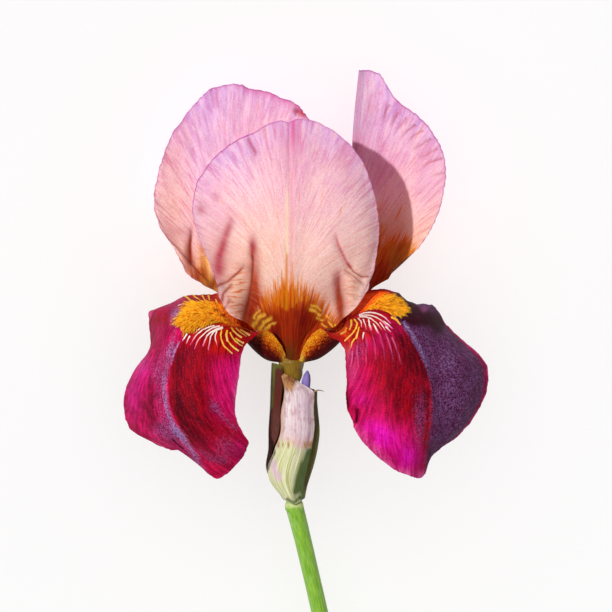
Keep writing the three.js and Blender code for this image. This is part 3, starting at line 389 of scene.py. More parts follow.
def shell(name, p, thick, attrs, uv, material, node=None, inner=1):
    """A thin closed petal: two skins joined by a rounded margin. p is the middle surface in metres.
    inner says which skin faces the middle of the bloom: 1 for the one along the grid's normal, -1 for the other."""
    n, m = p.shape[:2]
    nn = normals(p)
    thick = np.broadcast_to(np.asarray(thick, float), (n, m))[..., None]
    top, low = p + nn * thick / 2, p - nn * thick / 2
    ring = [(i, 0) for i in range(n)] + [(n - 1, j) for j in range(1, m)] + [(i, m - 1) for i in range(n - 2, -1, -1)] + [(0, j) for j in range(m - 2, 0, -1)]
    ri, rj = np.array(ring).T
    ii, jj = np.clip(ri, 1, n - 2), np.clip(rj, 1, m - 2)
    out = p[ri, rj] - p[ii, jj]
    out /= np.maximum(np.linalg.norm(out, axis=-1, keepdims=True), 1e-12)
    edge = p[ri, rj] + out * thick[ri, rj] * 0.45
    verts = np.concatenate([top.reshape(-1, 3), low.reshape(-1, 3), edge])
    idx = np.arange(n * m).reshape(n, m)
    a, b, c, d = idx[:-1, :-1].ravel(), idx[1:, :-1].ravel(), idx[1:, 1:].ravel(), idx[:-1, 1:].ravel()
    o = n * m
    quads = [np.stack([a, b, c, d], 1), np.stack([a + o, d + o, c + o, b + o], 1)]
    r = idx[ri, rj]
    k = np.arange(len(r))
    e, e2, r2 = 2 * o + k, 2 * o + np.roll(k, -1), np.roll(r, -1)
    quads += [np.stack([r, e, e2, r2], 1), np.stack([e, r + o, r2 + o, e2], 1)]
    quads = np.concatenate(quads)
    q = verts[quads[:, :]]
    vol = np.einsum("ij,ij->i", q[:, 0], np.cross(q[:, 1], q[:, 2])).sum() + np.einsum("ij,ij->i", q[:, 0], np.cross(q[:, 2], q[:, 3])).sum()
    if vol < 0:
        quads = quads[:, ::-1]
    full = {}
    for key, value in attrs.items():
        value = np.broadcast_to(np.asarray(value, float), (n, m))
        full[key] = np.concatenate([value.ravel(), value.ravel(), value[ri, rj]])
    full["inner"] = np.concatenate([np.full(o, 0.5 + 0.5 * inner), np.full(o, 0.5 - 0.5 * inner), np.full(len(r), 0.5)])
    uvs = {k: np.concatenate([w.reshape(-1, 2), w.reshape(-1, 2), w[ri, rj]]) for k, w in (uv if isinstance(uv, dict) else {"veins": uv}).items()}
    return place(name, make_mesh(name, verts, quads, full, uvs), material, node)


def tube(path, radii, sides, rings, squash=1.0, closed_ends=True):
    """Vertices and quads of a round tube along a smooth path of points in metres."""
    path = np.asarray(path, float)
    t = np.linspace(0, len(path) - 1, rings + 1)
    pts = surface([list(map(list, path)), list(map(list, path))], [0.0], t / (len(path) - 1))[0]
    rad = np.interp(t, np.arange(len(radii)), radii)
    tan = np.gradient(pts, axis=0)
    tan /= np.linalg.norm(tan, axis=1, keepdims=True)
    side = np.array([1.0, 0, 0]) if abs(tan[0] @ np.array([1.0, 0, 0])) < 0.9 else np.array([0, 0, 1.0])
    rows = []
    for i in range(rings + 1):
        side = side - tan[i] * (side @ tan[i])
        side /= np.linalg.norm(side)
        other = np.cross(tan[i], side)
        w = 2 * np.pi * np.arange(sides) / sides
        rows.append(pts[i] + rad[i] * (np.cos(w)[:, None] * side + squash * np.sin(w)[:, None] * other))
    v = np.array(rows)
    idx = np.arange((rings + 1) * sides).reshape(rings + 1, sides)
    nx = np.roll(idx, -1, axis=1)
    quads = np.stack([idx[:-1].ravel(), nx[:-1].ravel(), nx[1:].ravel(), idx[1:].ravel()], 1)
    return v, quads


# ---------------------------------------------------------------- materials
def lin(r, g, b):
    f = lambda c: c / 12.92 if c <= 0.04045 else ((c + 0.055) / 1.055) ** 2.4
    return (f(r / 255), f(g / 255), f(b / 255), 1.0)


class Graph:
    """A short way of writing a node material."""

    def __init__(self, name):
        self.mat = bpy.data.materials.new(name)
        self.mat.use_nodes = True
        self.nt = self.mat.node_tree
        self.nt.nodes.clear()
        self.out = self.nt.nodes.new("ShaderNodeOutputMaterial")

    def node(self, kind, **props):
        n = self.nt.nodes.new(kind)
        for k, v in props.items():
            setattr(n, k, v)
        return n

    def put(self, socket, value):
        if isinstance(value, bpy.types.NodeSocket):
            self.nt.links.new(value, socket)
        elif value is not None:
            socket.default_value = value

    def attr(self, name):
        return self.node("ShaderNodeAttribute", attribute_name=name).outputs["Fac"]

    def uv(self, layer="veins"):
        return self.node("ShaderNodeUVMap", uv_map=layer).outputs[0]

    def where(self):
        return self.node("ShaderNodeTexCoord").outputs["Object"]

    def stretch(self, vec, scale, shift=(0, 0, 0), turn=(0, 0, 0)):
        n = self.node("ShaderNodeMapping")
        self.put(n.inputs["Vector"], vec)
        n.inputs["Scale"].default_value = scale
        n.inputs["Location"].default_value = shift
        n.inputs["Rotation"].default_value = turn
        return n.outputs[0]

    def noise(self, vec, scale, detail=3.0, rough=0.55, distort=0.0):
        n = self.node("ShaderNodeTexNoise")
        self.put(n.inputs["Vector"], vec)
        n.inputs["Scale"].default_value = scale
        n.inputs["Detail"].default_value = detail
        n.inputs["Roughness"].default_value = rough
        n.inputs["Distortion"].default_value = distort
        return n.outputs["Fac"]

    def cells(self, vec, scale, feature="F1", randomness=1.0):
        n = self.node("ShaderNodeTexVoronoi", feature=feature)
        self.put(n.inputs["Vector"], vec)
        n.inputs["Scale"].default_value = scale
        n.inputs["Randomness"].default_value = randomness
        return n.outputs["Distance"]

    def math(self, op, a, b=0.0, clamp=False):
        n = self.node("ShaderNodeMath", operation=op, use_clamp=clamp)
        self.put(n.inputs[0], a)
        self.put(n.inputs[1], b)
        return n.outputs[0]

    def ramp(self, fac, a, b, lo=0.0, hi=1.0, smooth=True):
        n = self.node("ShaderNodeMapRange", interpolation_type="SMOOTHSTEP" if smooth else "LINEAR", clamp=True)
        self.put(n.inputs[0], fac)
        for k, v in zip((1, 2, 3, 4), (a, b, lo, hi)):
            self.put(n.inputs[k], v)
        return n.outputs[0]

    def mix(self, fac, a, b, mode="MIX"):
        n = self.node("ShaderNodeMix", data_type="RGBA", blend_type=mode, clamp_factor=True)
        self.put(n.inputs[0], fac)
        self.put(n.inputs[6], a)
        self.put(n.inputs[7], b)
        return n.outputs[2]

    def bump(self, height, strength, distance, under=None):
        n = self.node("ShaderNodeBump")
        n.inputs["Strength"].default_value = strength
        n.inputs["Distance"].default_value = distance
        self.put(n.inputs["Height"], height)
        if under is not None:
            self.put(n.inputs["Normal"], under)
        return n.outputs[0]

    def surface(self, color, roughness, normal=None, through=0.0, through_color=None, sheen=None, specular=0.3, coat=0.0, subsurface=None):
        p = self.node("ShaderNodeBsdfPrincipled")
        self.put(p.inputs["Base Color"], color)
        self.put(p.inputs["Roughness"], roughness)
        p.inputs["Specular IOR Level"].default_value = specular
        if normal is not None:
            self.put(p.inputs["Normal"], normal)
        if sheen:
            p.inputs["Sheen Weight"].default_value = sheen[0]
            p.inputs["Sheen Roughness"].default_value = sheen[1]
            p.inputs["Sheen Tint"].default_value = sheen[2]
        if coat:
            p.inputs["Coat Weight"].default_value = coat
        if subsurface:
            p.inputs["Subsurface Weight"].default_value = subsurface[0]
            p.inputs["Subsurface Radius"].default_value = subsurface[1]
            p.inputs["Subsurface Scale"].default_value = subsurface[2]
        shader = p.outputs[0]
        if through:
            t = self.node("ShaderNodeBsdfTranslucent")
            self.put(t.inputs["Color"], through_color if through_color is not None else color)
            if normal is not None:
                self.put(t.inputs["Normal"], normal)
            m = self.node("ShaderNodeMixShader")
            m.inputs[0].default_value = through
            self.nt.links.new(shader, m.inputs[1])
            self.nt.links.new(t.outputs[0], m.inputs[2])
            shader = m.outputs[0]
        self.nt.links.new(shader, self.out.inputs["Surface"])
        return self.mat



# ---------------------------------------------------------------- petal materials (colours in 8-bit sRGB)
def standard_material(name):
    g = Graph(name)
    uv, claw, at = g.uv(), g.uv("claw"), g.attr
    # veins: noise stretched along the vein direction, at four widths
    broad = g.noise(g.stretch(uv, (8, 0.8, 1)), 1.0, 3.0, 0.6)
    fine = g.noise(g.stretch(uv, (34, 1.5, 1), (3, 7, 0)), 1.0, 4.0, 0.6)
    hair = g.noise(g.stretch(uv, (95, 2.6, 1), (11, 2, 0)), 1.0, 3.0, 0.62)
    thread = g.noise(g.stretch(uv, (62, 1.7, 1), (31, 5, 0)), 1.0, 2.0, 0.5, 0.3)
    crepe = g.noise(g.where(), 620.0, 4.0, 0.65)
    clouds = g.noise(g.where(), 110.0, 3.0, 0.6)
    ray = g.noise(g.stretch(claw, (17, 1.2, 1), (5, 3, 0)), 1.0, 3.0, 0.6)
    needle = g.noise(g.stretch(claw, (60, 2.2, 1), (2, 9, 0)), 1.0, 3.0, 0.65)
    bars = g.noise(g.stretch(g.where(), (170, 1250, 200)), 1.0, 2.0, 0.5)
    col = g.mix(g.ramp(broad, 0.36, 0.66), lin(244, 196, 220), lin(252, 220, 228))
    col = g.mix(g.ramp(clouds, 0.42, 0.7, 0.0, 0.45), col, lin(250, 214, 208))
    col = g.mix(g.ramp(crepe, 0.45, 0.70, 0.0, 0.4), col, lin(252, 226, 222))
    # lilac: the cool bluish tint, also laid over the brightest upper left as painted shade
    col = g.mix(at("lilac_and_painted_light"), col, g.mix(g.ramp(fine, 0.38, 0.62), lin(216, 168, 226), lin(238, 210, 250)))
    # pale: a whitish tint, and on the standards painted light where the petal turns away from the lamp
    col = g.mix(g.math("MULTIPLY", at("pale_and_painted_light"), 0.8), col, lin(255, 238, 238))
    col = g.mix(at("warm"), col, g.mix(g.ramp(fine, 0.35, 0.65), lin(255, 216, 190), lin(255, 238, 220)))
    # fine veins, pink on the blade and orange at the sides and on the lobes
    line = g.math("MULTIPLY", g.ramp(thread, 0.53, 0.60), g.ramp(broad, 0.34, 0.58, 0.35, 1.0))
    vein = g.math("MULTIPLY", line, g.math("ADD", 0.14, g.math("MULTIPLY", at("veined"), 0.8)), True)
    col = g.mix(vein, col, g.mix(at("warm"), lin(222, 126, 176), lin(236, 156, 112)))
    col = g.mix(g.math("MULTIPLY", g.ramp(fine, 0.52, 0.66), g.math("MULTIPLY", at("veined"), 0.45), True), col, lin(238, 176, 136))
    col = g.mix(g.math("MULTIPLY", g.ramp(hair, 0.50, 0.66), 0.36), col, g.mix(at("warm"), lin(214, 118, 186), lin(234, 158, 140)))
    col = g.mix(g.ramp(hair, 0.32, 0.46, 0.45, 0.0), col, lin(255, 236, 232))
    tissue = g.noise(g.where(), 1500.0, 2.0, 0.6)
    col = g.mix(g.ramp(tissue, 0.50, 0.36, 0.0, 0.22), col, lin(216, 128, 160))
    col = g.mix(g.ramp(tissue, 0.54, 0.70, 0.0, 0.30), col, lin(255, 242, 240))
    col = g.mix(at("rose"), col, lin(226, 92, 160))
    col = g.mix(g.math("MULTIPLY", at("lobe"), 0.8), col, lin(246, 204, 172))
    col = g.mix(g.math("MULTIPLY", g.ramp(bars, 0.47, 0.60), at("lobe")), col, lin(226, 126, 78))
    # yellow to orange to dark red towards the claw, in rays
    b = at("base")
    shift = g.math("ADD", g.math("MULTIPLY", g.math("SUBTRACT", ray, 0.5), 1.3), g.math("MULTIPLY", g.math("SUBTRACT", needle, 0.5), 1.2))
    reach = g.math("ADD", b, shift)
    col = g.mix(g.ramp(reach, 0.20, 0.48, 0.0, 0.8), col, lin(244, 168, 92))
    col = g.mix(g.ramp(reach, 0.36, 0.56), col, g.mix(g.ramp(needle, 0.42, 0.58), lin(204, 66, 4), lin(242, 138, 20)))
    col = g.mix(g.ramp(g.math("ADD", b, g.math("MULTIPLY", shift, 0.9)), 0.74, 0.96), col, g.mix(g.ramp(needle, 0.45, 0.62), lin(156, 24, 0), lin(224, 84, 6)))
    # rust: orange-brown colour, laid partly as painted shade beside the pleats and in the cast shadow on the right
    # standard
    col = g.mix(g.math("MULTIPLY", at("rust_red_and_painted_shade"), g.ramp(fine, 0.30, 0.55, 0.7, 1.0)), col, g.mix(g.ramp(hair, 0.42, 0.60), lin(160, 28, 2), lin(222, 90, 14)))
    col = g.mix(at("red"), col, g.mix(g.ramp(needle, 0.4, 0.65), lin(112, 4, 0), lin(178, 22, 2)))
    col = g.mix(at("yellow"), col, g.mix(g.ramp(needle, 0.35, 0.6), lin(255, 180, 10), lin(255, 228, 90)))
    col = g.mix(g.math("MULTIPLY", at("cream"), 0.8), col, lin(252, 242, 206))
    col = g.mix(at("gold"), col, lin(232, 146, 12))
    col = g.mix(at("brown"), col, g.mix(g.ramp(needle, 0.42, 0.60), lin(194, 48, 2), lin(134, 26, 2)))
    col = g.mix(at("olive"), col, lin(84, 60, 6))
    # mauve: painted shade, soft red, in the dents, folds and small tucks
    col = g.mix(at("mauve_fold_shade"), col, g.mix(g.ramp(fine, 0.4, 0.65), lin(184, 52, 84), lin(212, 96, 104)))
    # crease: painted shade, brown-red, along the folds
    col = g.mix(at("crease"), col, g.mix(g.ramp(hair, 0.4, 0.65), lin(160, 46, 22), lin(206, 96, 50)))
    col = g.mix(at("rim"), col, lin(190, 66, 168))
    outer = g.mix(g.ramp(g.math("ADD", b, g.math("MULTIPLY", shift, 0.6)), 0.45, 0.8), col, lin(150, 110, 40))
    col = g.mix(g.ramp(at("inner"), 0.3, 0.6), outer, col) if name.endswith("back") else col
    h = g.math("ADD", g.math("ADD", g.math("MULTIPLY", fine, 0.8), g.math("MULTIPLY", hair, 0.45)), g.math("MULTIPLY", crepe, 0.5))
    nrm = g.bump(tissue, 0.35, 0.00015, g.bump(h, 0.7, 0.0005))
    return g.surface(col, g.ramp(crepe, 0.3, 0.7, 0.5, 0.68), nrm, through=0.40, through_color=g.mix(0.25, col, lin(250, 140, 160)), sheen=(0.05, 0.4, (1, 0.95, 1, 1)), specular=0.15)


def fall_material(name):
    g = Graph(name)
    uv, at = g.uv(), g.attr
    streak = g.noise(g.stretch(uv, (15, 1.7, 1)), 1.0, 4.0, 0.66)
    fine = g.noise(g.stretch(uv, (52, 5.0, 1), (5, 1, 0)), 1.0, 3.0, 0.65)
    thread = g.noise(g.stretch(uv, (78, 2.6, 1), (15, 4, 0)), 1.0, 2.0, 0.5, 0.3)
    nap = g.noise(g.where(), 2100.0, 2.0, 0.7)
    grain = g.noise(g.where(), 900.0, 3.0, 0.68)
    grit = g.noise(g.where(), 1350.0, 2.0, 0.65)
    blotch = g.noise(g.where(), 260.0, 3.0, 0.6)
    both = g.math("ADD", g.math("MULTIPLY", streak, 0.55), g.math("MULTIPLY", fine, 0.45))
    s1 = g.ramp(both, 0.40, 0.60)
    felt = g.math("ADD", g.math("MULTIPLY", nap, 0.55), g.math("MULTIPLY", grain, 0.45))

    def soft(mask, width=0.5, by=None):
        """A mask whose fading edge breaks up into specks."""
        return g.ramp(g.math("ADD", mask, g.math("MULTIPLY", g.math("SUBTRACT", by or felt, 0.5), 1.3)), 0.5 - width / 2, 0.5 + width / 2)

    col = g.mix(s1, lin(132, 0, 14), lin(204, 4, 30))
    col = g.mix(g.ramp(blotch, 0.42, 0.64, 0.0, 0.35), col, lin(150, 0, 44))
    col = g.mix(g.math("MULTIPLY", at("magenta"), g.ramp(both, 0.34, 0.58, 0.72, 1.0)), col, g.mix(s1, lin(176, 2, 80), lin(236, 20, 118)))
    col = g.mix(at("hot"), col, g.mix(s1, lin(214, 0, 138), lin(250, 22, 204)))
    col = g.mix(g.math("MULTIPLY", at("deep"), g.ramp(both, 0.42, 0.64, 1.0, 0.55)), col, g.mix(s1, lin(74, 0, 12), lin(104, 0, 18)))
    col = g.mix(g.math("MULTIPLY", soft(at("dusk"), 0.7), 0.8), col, g.mix(g.ramp(grit, 0.4, 0.6), lin(100, 26, 78), lin(164, 84, 142)))
    # the far half of the right fall, away from the lamp: dark violet painted as shade, with light specks as painted
    # sheen
    shaded_velvet = g.mix(g.ramp(felt, 0.40, 0.60), lin(50, 4, 44), lin(134, 84, 140))
    shaded_velvet = g.mix(g.ramp(blotch, 0.40, 0.62, 0.0, 0.5), shaded_velvet, g.mix(g.ramp(felt, 0.42, 0.6), lin(60, 2, 40), lin(120, 40, 100)))
    col = g.mix(soft(at("velvet_shade_and_sheen"), 0.45), col, shaded_velvet)
    # night: near-black painted shade
    col = g.mix(soft(at("deepest_shade"), 0.7), col, g.mix(g.ramp(grain, 0.4, 0.62), lin(24, 0, 6), lin(60, 6, 28)))
    # lilac: painted velvet sheen along the ridges and over the far halves
    col = g.mix(g.math("MULTIPLY", soft(at("lilac_and_painted_light"), 0.8), 0.85), col, g.mix(g.ramp(grit, 0.4, 0.62), lin(112, 70, 134), lin(176, 146, 196)))
    col = g.mix(g.math("MULTIPLY", at("pinkish"), g.ramp(both, 0.36, 0.58, 0.5, 1.0)), col, g.mix(s1, lin(214, 66, 142), lin(236, 118, 182)))
    # veins, dark specks, and light specks painted as the glints of the felted surface
    col = g.mix(g.math("MULTIPLY", g.ramp(thread, 0.51, 0.60), g.ramp(streak, 0.35, 0.6, 0.25, 0.65)), col, g.mix(0.6, col, lin(76, 0, 24)))
    col = g.mix(g.ramp(grit, 0.46, 0.30, 0.0, 0.45), col, lin(70, 0, 22))
    col = g.mix(g.ramp(nap, 0.56, 0.74, 0.0, 0.34), col, g.mix(0.5, col, lin(240, 110, 170)))
    col = g.mix(at("bed"), col, g.mix(s1, lin(132, 2, 2), lin(210, 26, 6)))
    # the rays between beard and margin
    ray = g.ramp(g.math("ADD", at("stripe"), g.math("MULTIPLY", g.math("SUBTRACT", fine, 0.5), 0.35)), 0.30, 0.52)
    tone = g.mix(at("to_yellow"), g.mix(at("to_pink"), lin(255, 240, 232), lin(240, 96, 156)), g.mix(s1, lin(255, 180, 4), lin(255, 228, 64)))
    col = g.mix(ray, col, tone)
    # glow: orange-red colour of the haft, laid brighter as painted light where the standards shade it
    col = g.mix(g.math("MULTIPLY", at("orange_and_painted_light"), g.ramp(both, 0.36, 0.58, 0.6, 1.0)), col, g.mix(s1, lin(224, 40, 0), lin(252, 118, 4)))
    # crease: near-black painted shade in the deepest folds
    col = g.mix(at("crease"), col, lin(54, 0, 10))
    col = g.mix(at("rim"), col, g.mix(s1, lin(184, 26, 116), lin(222, 84, 158)))
    # outer side: near-black maroon towards the claw, painted shade, and duller maroon on the blade; the front wing of
    # the claw grades to orange and gold with maroon specks
    spots = g.noise(g.stretch(uv, (32, 13, 1), (2, 5, 0)), 1.0, 4.0, 0.75)
    under = g.mix(s1, lin(40, 0, 2), lin(84, 4, 8))
    under = g.mix(at("blade"), under, g.mix(s1, lin(112, 10, 46), lin(150, 28, 80)))
    wing = g.math("ADD", at("spotted"), g.math("MULTIPLY", g.math("SUBTRACT", spots, 0.5), 2.6))
    gold = g.mix(g.ramp(wing, 0.45, 0.95), lin(206, 70, 2), g.mix(g.ramp(grit, 0.4, 0.6), lin(250, 150, 8), lin(255, 204, 50)))
    under = g.mix(g.ramp(wing, 0.10, 0.55), under, g.mix(g.ramp(wing, 0.3, 0.6), lin(138, 22, 2), gold))
    under = g.mix(at("olive"), under, lin(66, 54, 8))
    under = g.mix(g.math("MULTIPLY", at("clawglow"), g.ramp(grit, 0.36, 0.5, 0.5, 1.0)), under, lin(255, 206, 70))
    under = g.mix(at("rim"), under, lin(190, 52, 112))
    col = g.mix(g.ramp(at("inner"), 0.3, 0.6), under, col)
    h = g.math("ADD", g.math("MULTIPLY", streak, 0.5), g.math("MULTIPLY", fine, 0.5))
    nrm = g.bump(h, 0.6, 0.0005)
    nrm = g.bump(felt, 0.5, 0.00018, nrm)
    return g.surface(col, g.ramp(nap, 0.3, 0.7, 0.6, 0.8), nrm, through=0.16, through_color=g.mix(0.5, col, lin(230, 4, 56)), sheen=(0.02, 0.45, (0.80, 0.72, 1.0, 1)), specular=0.06)


def paper_material(name):
    """Dry papery bract: pinkish white with fine ribs, brown at its tip, green at its base."""
    g = Graph(name)
    uv, at = g.uv(), g.attr
    rib = g.noise(g.stretch(uv, (24, 1.2, 1)), 1.0, 4.0, 0.62)
    hair = g.noise(g.stretch(uv, (80, 3.5, 1), (4, 4, 0)), 1.0, 3.0, 0.6)
    crumple = g.noise(g.stretch(g.where(), (420, 240, 420)), 1.0, 4.0, 0.62)
    col = g.mix(g.ramp(rib, 0.38, 0.62), lin(244, 216, 224), lin(255, 246, 244))
    col = g.mix(g.math("MULTIPLY", g.ramp(hair, 0.5, 0.66), 0.5), col, lin(190, 142, 146))
    col = g.mix(g.ramp(crumple, 0.48, 0.66, 0, 0.62), col, lin(206, 152, 166))
    col = g.mix(g.ramp(crumple, 0.30, 0.44, 0.5, 0.0), col, lin(255, 248, 244))
    col = g.mix(at("peach"), col, lin(238, 190, 160))
    col = g.mix(g.ramp(g.math("ADD", at("green"), g.math("MULTIPLY", g.math("SUBTRACT", hair, 0.5), 1.6)), 0.32, 0.66), col, g.mix(g.ramp(rib, 0.35, 0.65), lin(198, 204, 112), lin(255, 252, 226)))
    # lilac: a real bluish patch low on the left, and a greyish violet tint on the right as painted shade
    col = g.mix(at("lilac_and_painted_light"), col, lin(236, 190, 232))
    # deepgreen: dark green painted shade down the right side and at the base
    col = g.mix(g.math("MULTIPLY", at("green_shade"), g.ramp(hair, 0.36, 0.6, 1.0, 0.88)), col, lin(66, 96, 6))
    col = g.mix(g.ramp(g.math("ADD", at("dry"), g.math("MULTIPLY", g.math("SUBTRACT", hair, 0.5), 1.6)), 0.35, 0.75), col, g.mix(g.ramp(crumple, 0.36, 0.6), lin(150, 92, 44), lin(214, 158, 104)))
    nrm = g.bump(g.math("ADD", rib, g.math("MULTIPLY", hair, 0.6)), 0.8, 0.0005)
    nrm = g.bump(crumple, 0.6, 0.0006, nrm)
    return g.surface(col, g.ramp(crumple, 0.3, 0.7, 0.45, 0.7), nrm, through=0.22, specular=0.3)


def valve_material(name):
    """Leafy outer bract: olive green, with maroon painted as shade along its left side."""
    g = Graph(name)
    uv, at = g.uv(), g.attr
    rib = g.noise(g.stretch(uv, (24, 1.0, 1)), 1.0, 3.0, 0.6)
    hair = g.noise(g.stretch(uv, (90, 3, 1), (4, 4, 0)), 1.0, 2.0, 0.6)
    col = g.mix(g.ramp(rib, 0.35, 0.65), lin(70, 72, 10), lin(110, 104, 18))
    # maroon: painted shade along the leaf's left side
    col = g.mix(g.ramp(g.math("ADD", at("maroon"), g.math("MULTIPLY", g.math("SUBTRACT", rib, 0.5), 0.9)), 0.3, 0.7), col, g.mix(g.ramp(hair, 0.4, 0.6), lin(98, 24, 10), lin(70, 28, 5)))
    col = g.mix(at("pale_and_painted_light"), col, lin(186, 196, 110))
    nrm = g.bump(g.math("ADD", rib, g.math("MULTIPLY", hair, 0.5)), 0.6, 0.0004)
    return g.surface(col, g.ramp(hair, 0.3, 0.7, 0.38, 0.6), nrm, through=0.12, specular=0.35)


def stem_material(name):
    g = Graph(name)
    uv, at = g.uv(), g.attr
    rib = g.noise(g.stretch(uv, (16, 1.6, 1)), 1.0, 4.0, 0.6)
    hair = g.noise(g.stretch(uv, (60, 9, 1), (4, 4, 0)), 1.0, 3.0, 0.6)
    bloomy = g.noise(g.where(), 260.0, 4.0, 0.65)
    col = g.mix(g.ramp(rib, 0.35, 0.65), lin(106, 160, 36), lin(150, 196, 62))
    col = g.mix(g.math("MULTIPLY", g.ramp(hair, 0.5, 0.72), 0.4), col, lin(82, 132, 30))
    col = g.mix(g.math("MULTIPLY", g.ramp(bloomy, 0.42, 0.7), g.math("ADD", 0.10, at("bloom"))), col, lin(174, 204, 170))
    col = g.mix(at("pale_and_painted_light"), col, lin(204, 210, 140))
    col = g.mix(at("cut"), col, g.mix(g.ramp(g.cells(g.where(), 2600.0), 0.1, 0.5), lin(150, 178, 96), lin(206, 214, 160)))
    col = g.mix(at("olive"), col, g.mix(g.ramp(rib, 0.3, 0.7), lin(112, 84, 10), lin(142, 108, 20)))
    nrm = g.bump(g.math("ADD", rib, g.math("MULTIPLY", hair, 0.5)), 0.45, 0.0003)
    return g.surface(col, g.ramp(bloomy, 0.3, 0.7, 0.36, 0.55), nrm, specular=0.4, subsurface=(0.12, (0.6, 1.0, 0.3), 0.0015))


def hair_material(name):
    g = Graph(name)
    at = g.attr
    v = g.noise(g.where(), 900.0, 2.0, 0.6)
    t = g.math("ADD", at("height"), g.math("MULTIPLY", g.math("SUBTRACT", v, 0.5), 0.6))
    col = g.mix(g.ramp(t, 0.0, 0.6), lin(240, 104, 0), lin(255, 168, 10))
    col = g.mix(g.ramp(g.math("ADD", at("height"), at("shade")), 0.8, 1.6), col, lin(255, 196, 40))
    col = g.mix(g.ramp(at("shade"), 0.34, 0.0), col, lin(214, 72, 0))
    col = g.mix(g.ramp(at("shade"), 0.08, 0.03), col, lin(150, 30, 0))
    col = g.mix(at("inner_end"), col, g.mix(g.ramp(t, 0.1, 0.9), lin(228, 20, 0), lin(255, 84, 2)))
    nrm = g.bump(g.noise(g.where(), 2200.0, 2.0), 0.3, 0.00005)
    return g.surface(col, g.ramp(v, 0.3, 0.7, 0.5, 0.7), nrm, through=0.03, sheen=(0.35, 0.5, (1.0, 0.62, 0.08, 1)), specular=0.10)


def plain_petal_material(name, a, b, tipcol):
    g = Graph(name)
    uv, at = g.uv(), g.attr
    fine = g.noise(g.stretch(uv, (30, 2.0, 1)), 1.0, 4.0, 0.6)
    col = g.mix(g.ramp(fine, 0.35, 0.7), a, b)
    col = g.mix(at("tip"), col, tipcol)
    nrm = g.bump(fine, 0.4, 0.0003)
    return g.surface(col, g.ramp(fine, 0.3, 0.7, 0.45, 0.65), nrm, through=0.2, specular=0.3)


# ---------------------------------------------------------------- petals
def grid(n):
    return np.linspace(0, 1, int(round(n * FINE)) + 1)


def crowded(n, a, b, much):
    """Parameters from 0 to 1 that lie much closer together between a and b."""
    t = np.linspace(0, 1, 2001)
    w = 1 + (much - 1) * ease(t, a - 0.06, a + 0.02) * ease(1 - t, 1 - b - 0.06, 1 - b + 0.02)
    c = np.concatenate([[0], np.cumsum((w[1:] + w[:-1]) / 2)])
    return np.interp(grid(n), c / c[-1], t)


def margined(n):
    t = grid(n)
    return 1 - (1 - t) ** 1.3


def fold(p, x, y, line, depth, width, a=0.2, b=0.2, sideways=0.0):
    """Presses a fold into the petal's depth along a line drawn on it."""
    r, side, t = along(x, y, line)
    p[..., 2] += depth * bell(r, width) * ends(t, a, b)
    if sideways:
        p[..., 2] += sideways * bell(r, width * 2.2) * side * np.minimum(r / width, 1) * ends(t, a, b)


def crease(x, y, line, width, a=0.15, b=0.15):
    r, side, t = along(x, y, line)
    return bell(r, width) * ends(t, a, b)


def strokes(x, y, lines):
    """Painted rays: each line is (points, width at its start, width at its end, strength at its end).
    Returns how strongly each point is painted and how far along its ray it lies."""
    best, where = np.zeros(np.shape(x)), np.zeros(np.shape(x))
    for pts, w0, w1, last in lines:
        r, s, t = along(x, y, pts)
        m = bell(r, w0 + (w1 - w0) * t) * (1 + (last - 1) * t)
        where = np.where(m > best, t, where)
        best = np.maximum(best, m)
    return best, where


def fountain(x, y, mx, foot, spread, half, power):
    """Vein coordinates of an upright petal: up from the claw, then out to the sides; and the claw's own rays."""
    dx = x - mx
    up = np.logaddexp(0, (spread - y) / 10.0) * 10.0 / 60.0
    lean = np.sign(dx) * ((dx / half) ** 2 + 0.001) ** (power / 2)
    vein = lean / (up + 0.22)
    run = np.hypot(dx, np.maximum(spread - y, 0)) / 60.0
    s = np.maximum(foot - y, 0)
    return {"veins": np.stack([vein, run], -1), "claw": np.stack([dx / (9 + 0.42 * s), s / 60.0], -1)}


def margin_distance(p):
    """Distance of each grid point from the petal's far margin, in drawing units, along its vein."""
    seg = np.linalg.norm(np.diff(p[..., :2], axis=1), axis=-1)
    return np.concatenate([np.cumsum(seg[:, ::-1], axis=1)[:, ::-1], np.zeros((p.shape[0], 1))], 1)


def edge_distance(p):
    """Distance from the two side margins and the tip of a hanging petal."""
    seg = np.linalg.norm(np.diff(p, axis=1), axis=-1)
    a = np.concatenate([np.zeros((p.shape[0], 1)), np.cumsum(seg, axis=1)], 1)
    b = a[:, -1:] - a
    seg = np.linalg.norm(np.diff(p, axis=0), axis=-1)
    c = np.concatenate([np.zeros((1, p.shape[1])), np.cumsum(seg, axis=0)], 0)
    c = c[-1:] - c
    return np.minimum(np.minimum(a, b), c), a, b, c


STANDARD = standard_material("standard_petal")
STANDARD_B = standard_material("standard_petal_back")
FALL = fall_material("fall_petal")
HAIR = hair_material("beard_hairs")
PAPER = paper_material("papery_bract")
VALVE = valve_material("leafy_bract")
STEM_MAT = stem_material("stem_skin")


def ruffle(p, dist, u, amount, freq, seed, inplane=0.6, reach=9.0):
    """Small waves of a petal's margin."""
    w = bell(dist, reach)
    p[..., 2] += amount * w * waves(u[:, None] * freq + 0 * dist, dist * 0.05, seed, 3)
    p[..., 0] += inplane * bell(dist, reach * 0.5) * waves(u[:, None] * freq * 2.3 + 0 * dist, 0 * dist + 3.3, seed + 9, 3)
    p[..., 1] += inplane * bell(dist, reach * 0.5) * waves(u[:, None] * freq * 2.1 + 0 * dist, 0 * dist + 7.7, seed + 19, 3)


def ragged(p, away, run, amount, seed, length=7.0):
    """A margin that goes in and out a little in the petal's own plane."""
    s = 2 * math.pi * run / length / 3
    for k in (0, 1):
        p[..., k] += amount * bell(away, 4.0) * waves(s, 0 * s + 2.7 * k, seed + 13 * k, 4)


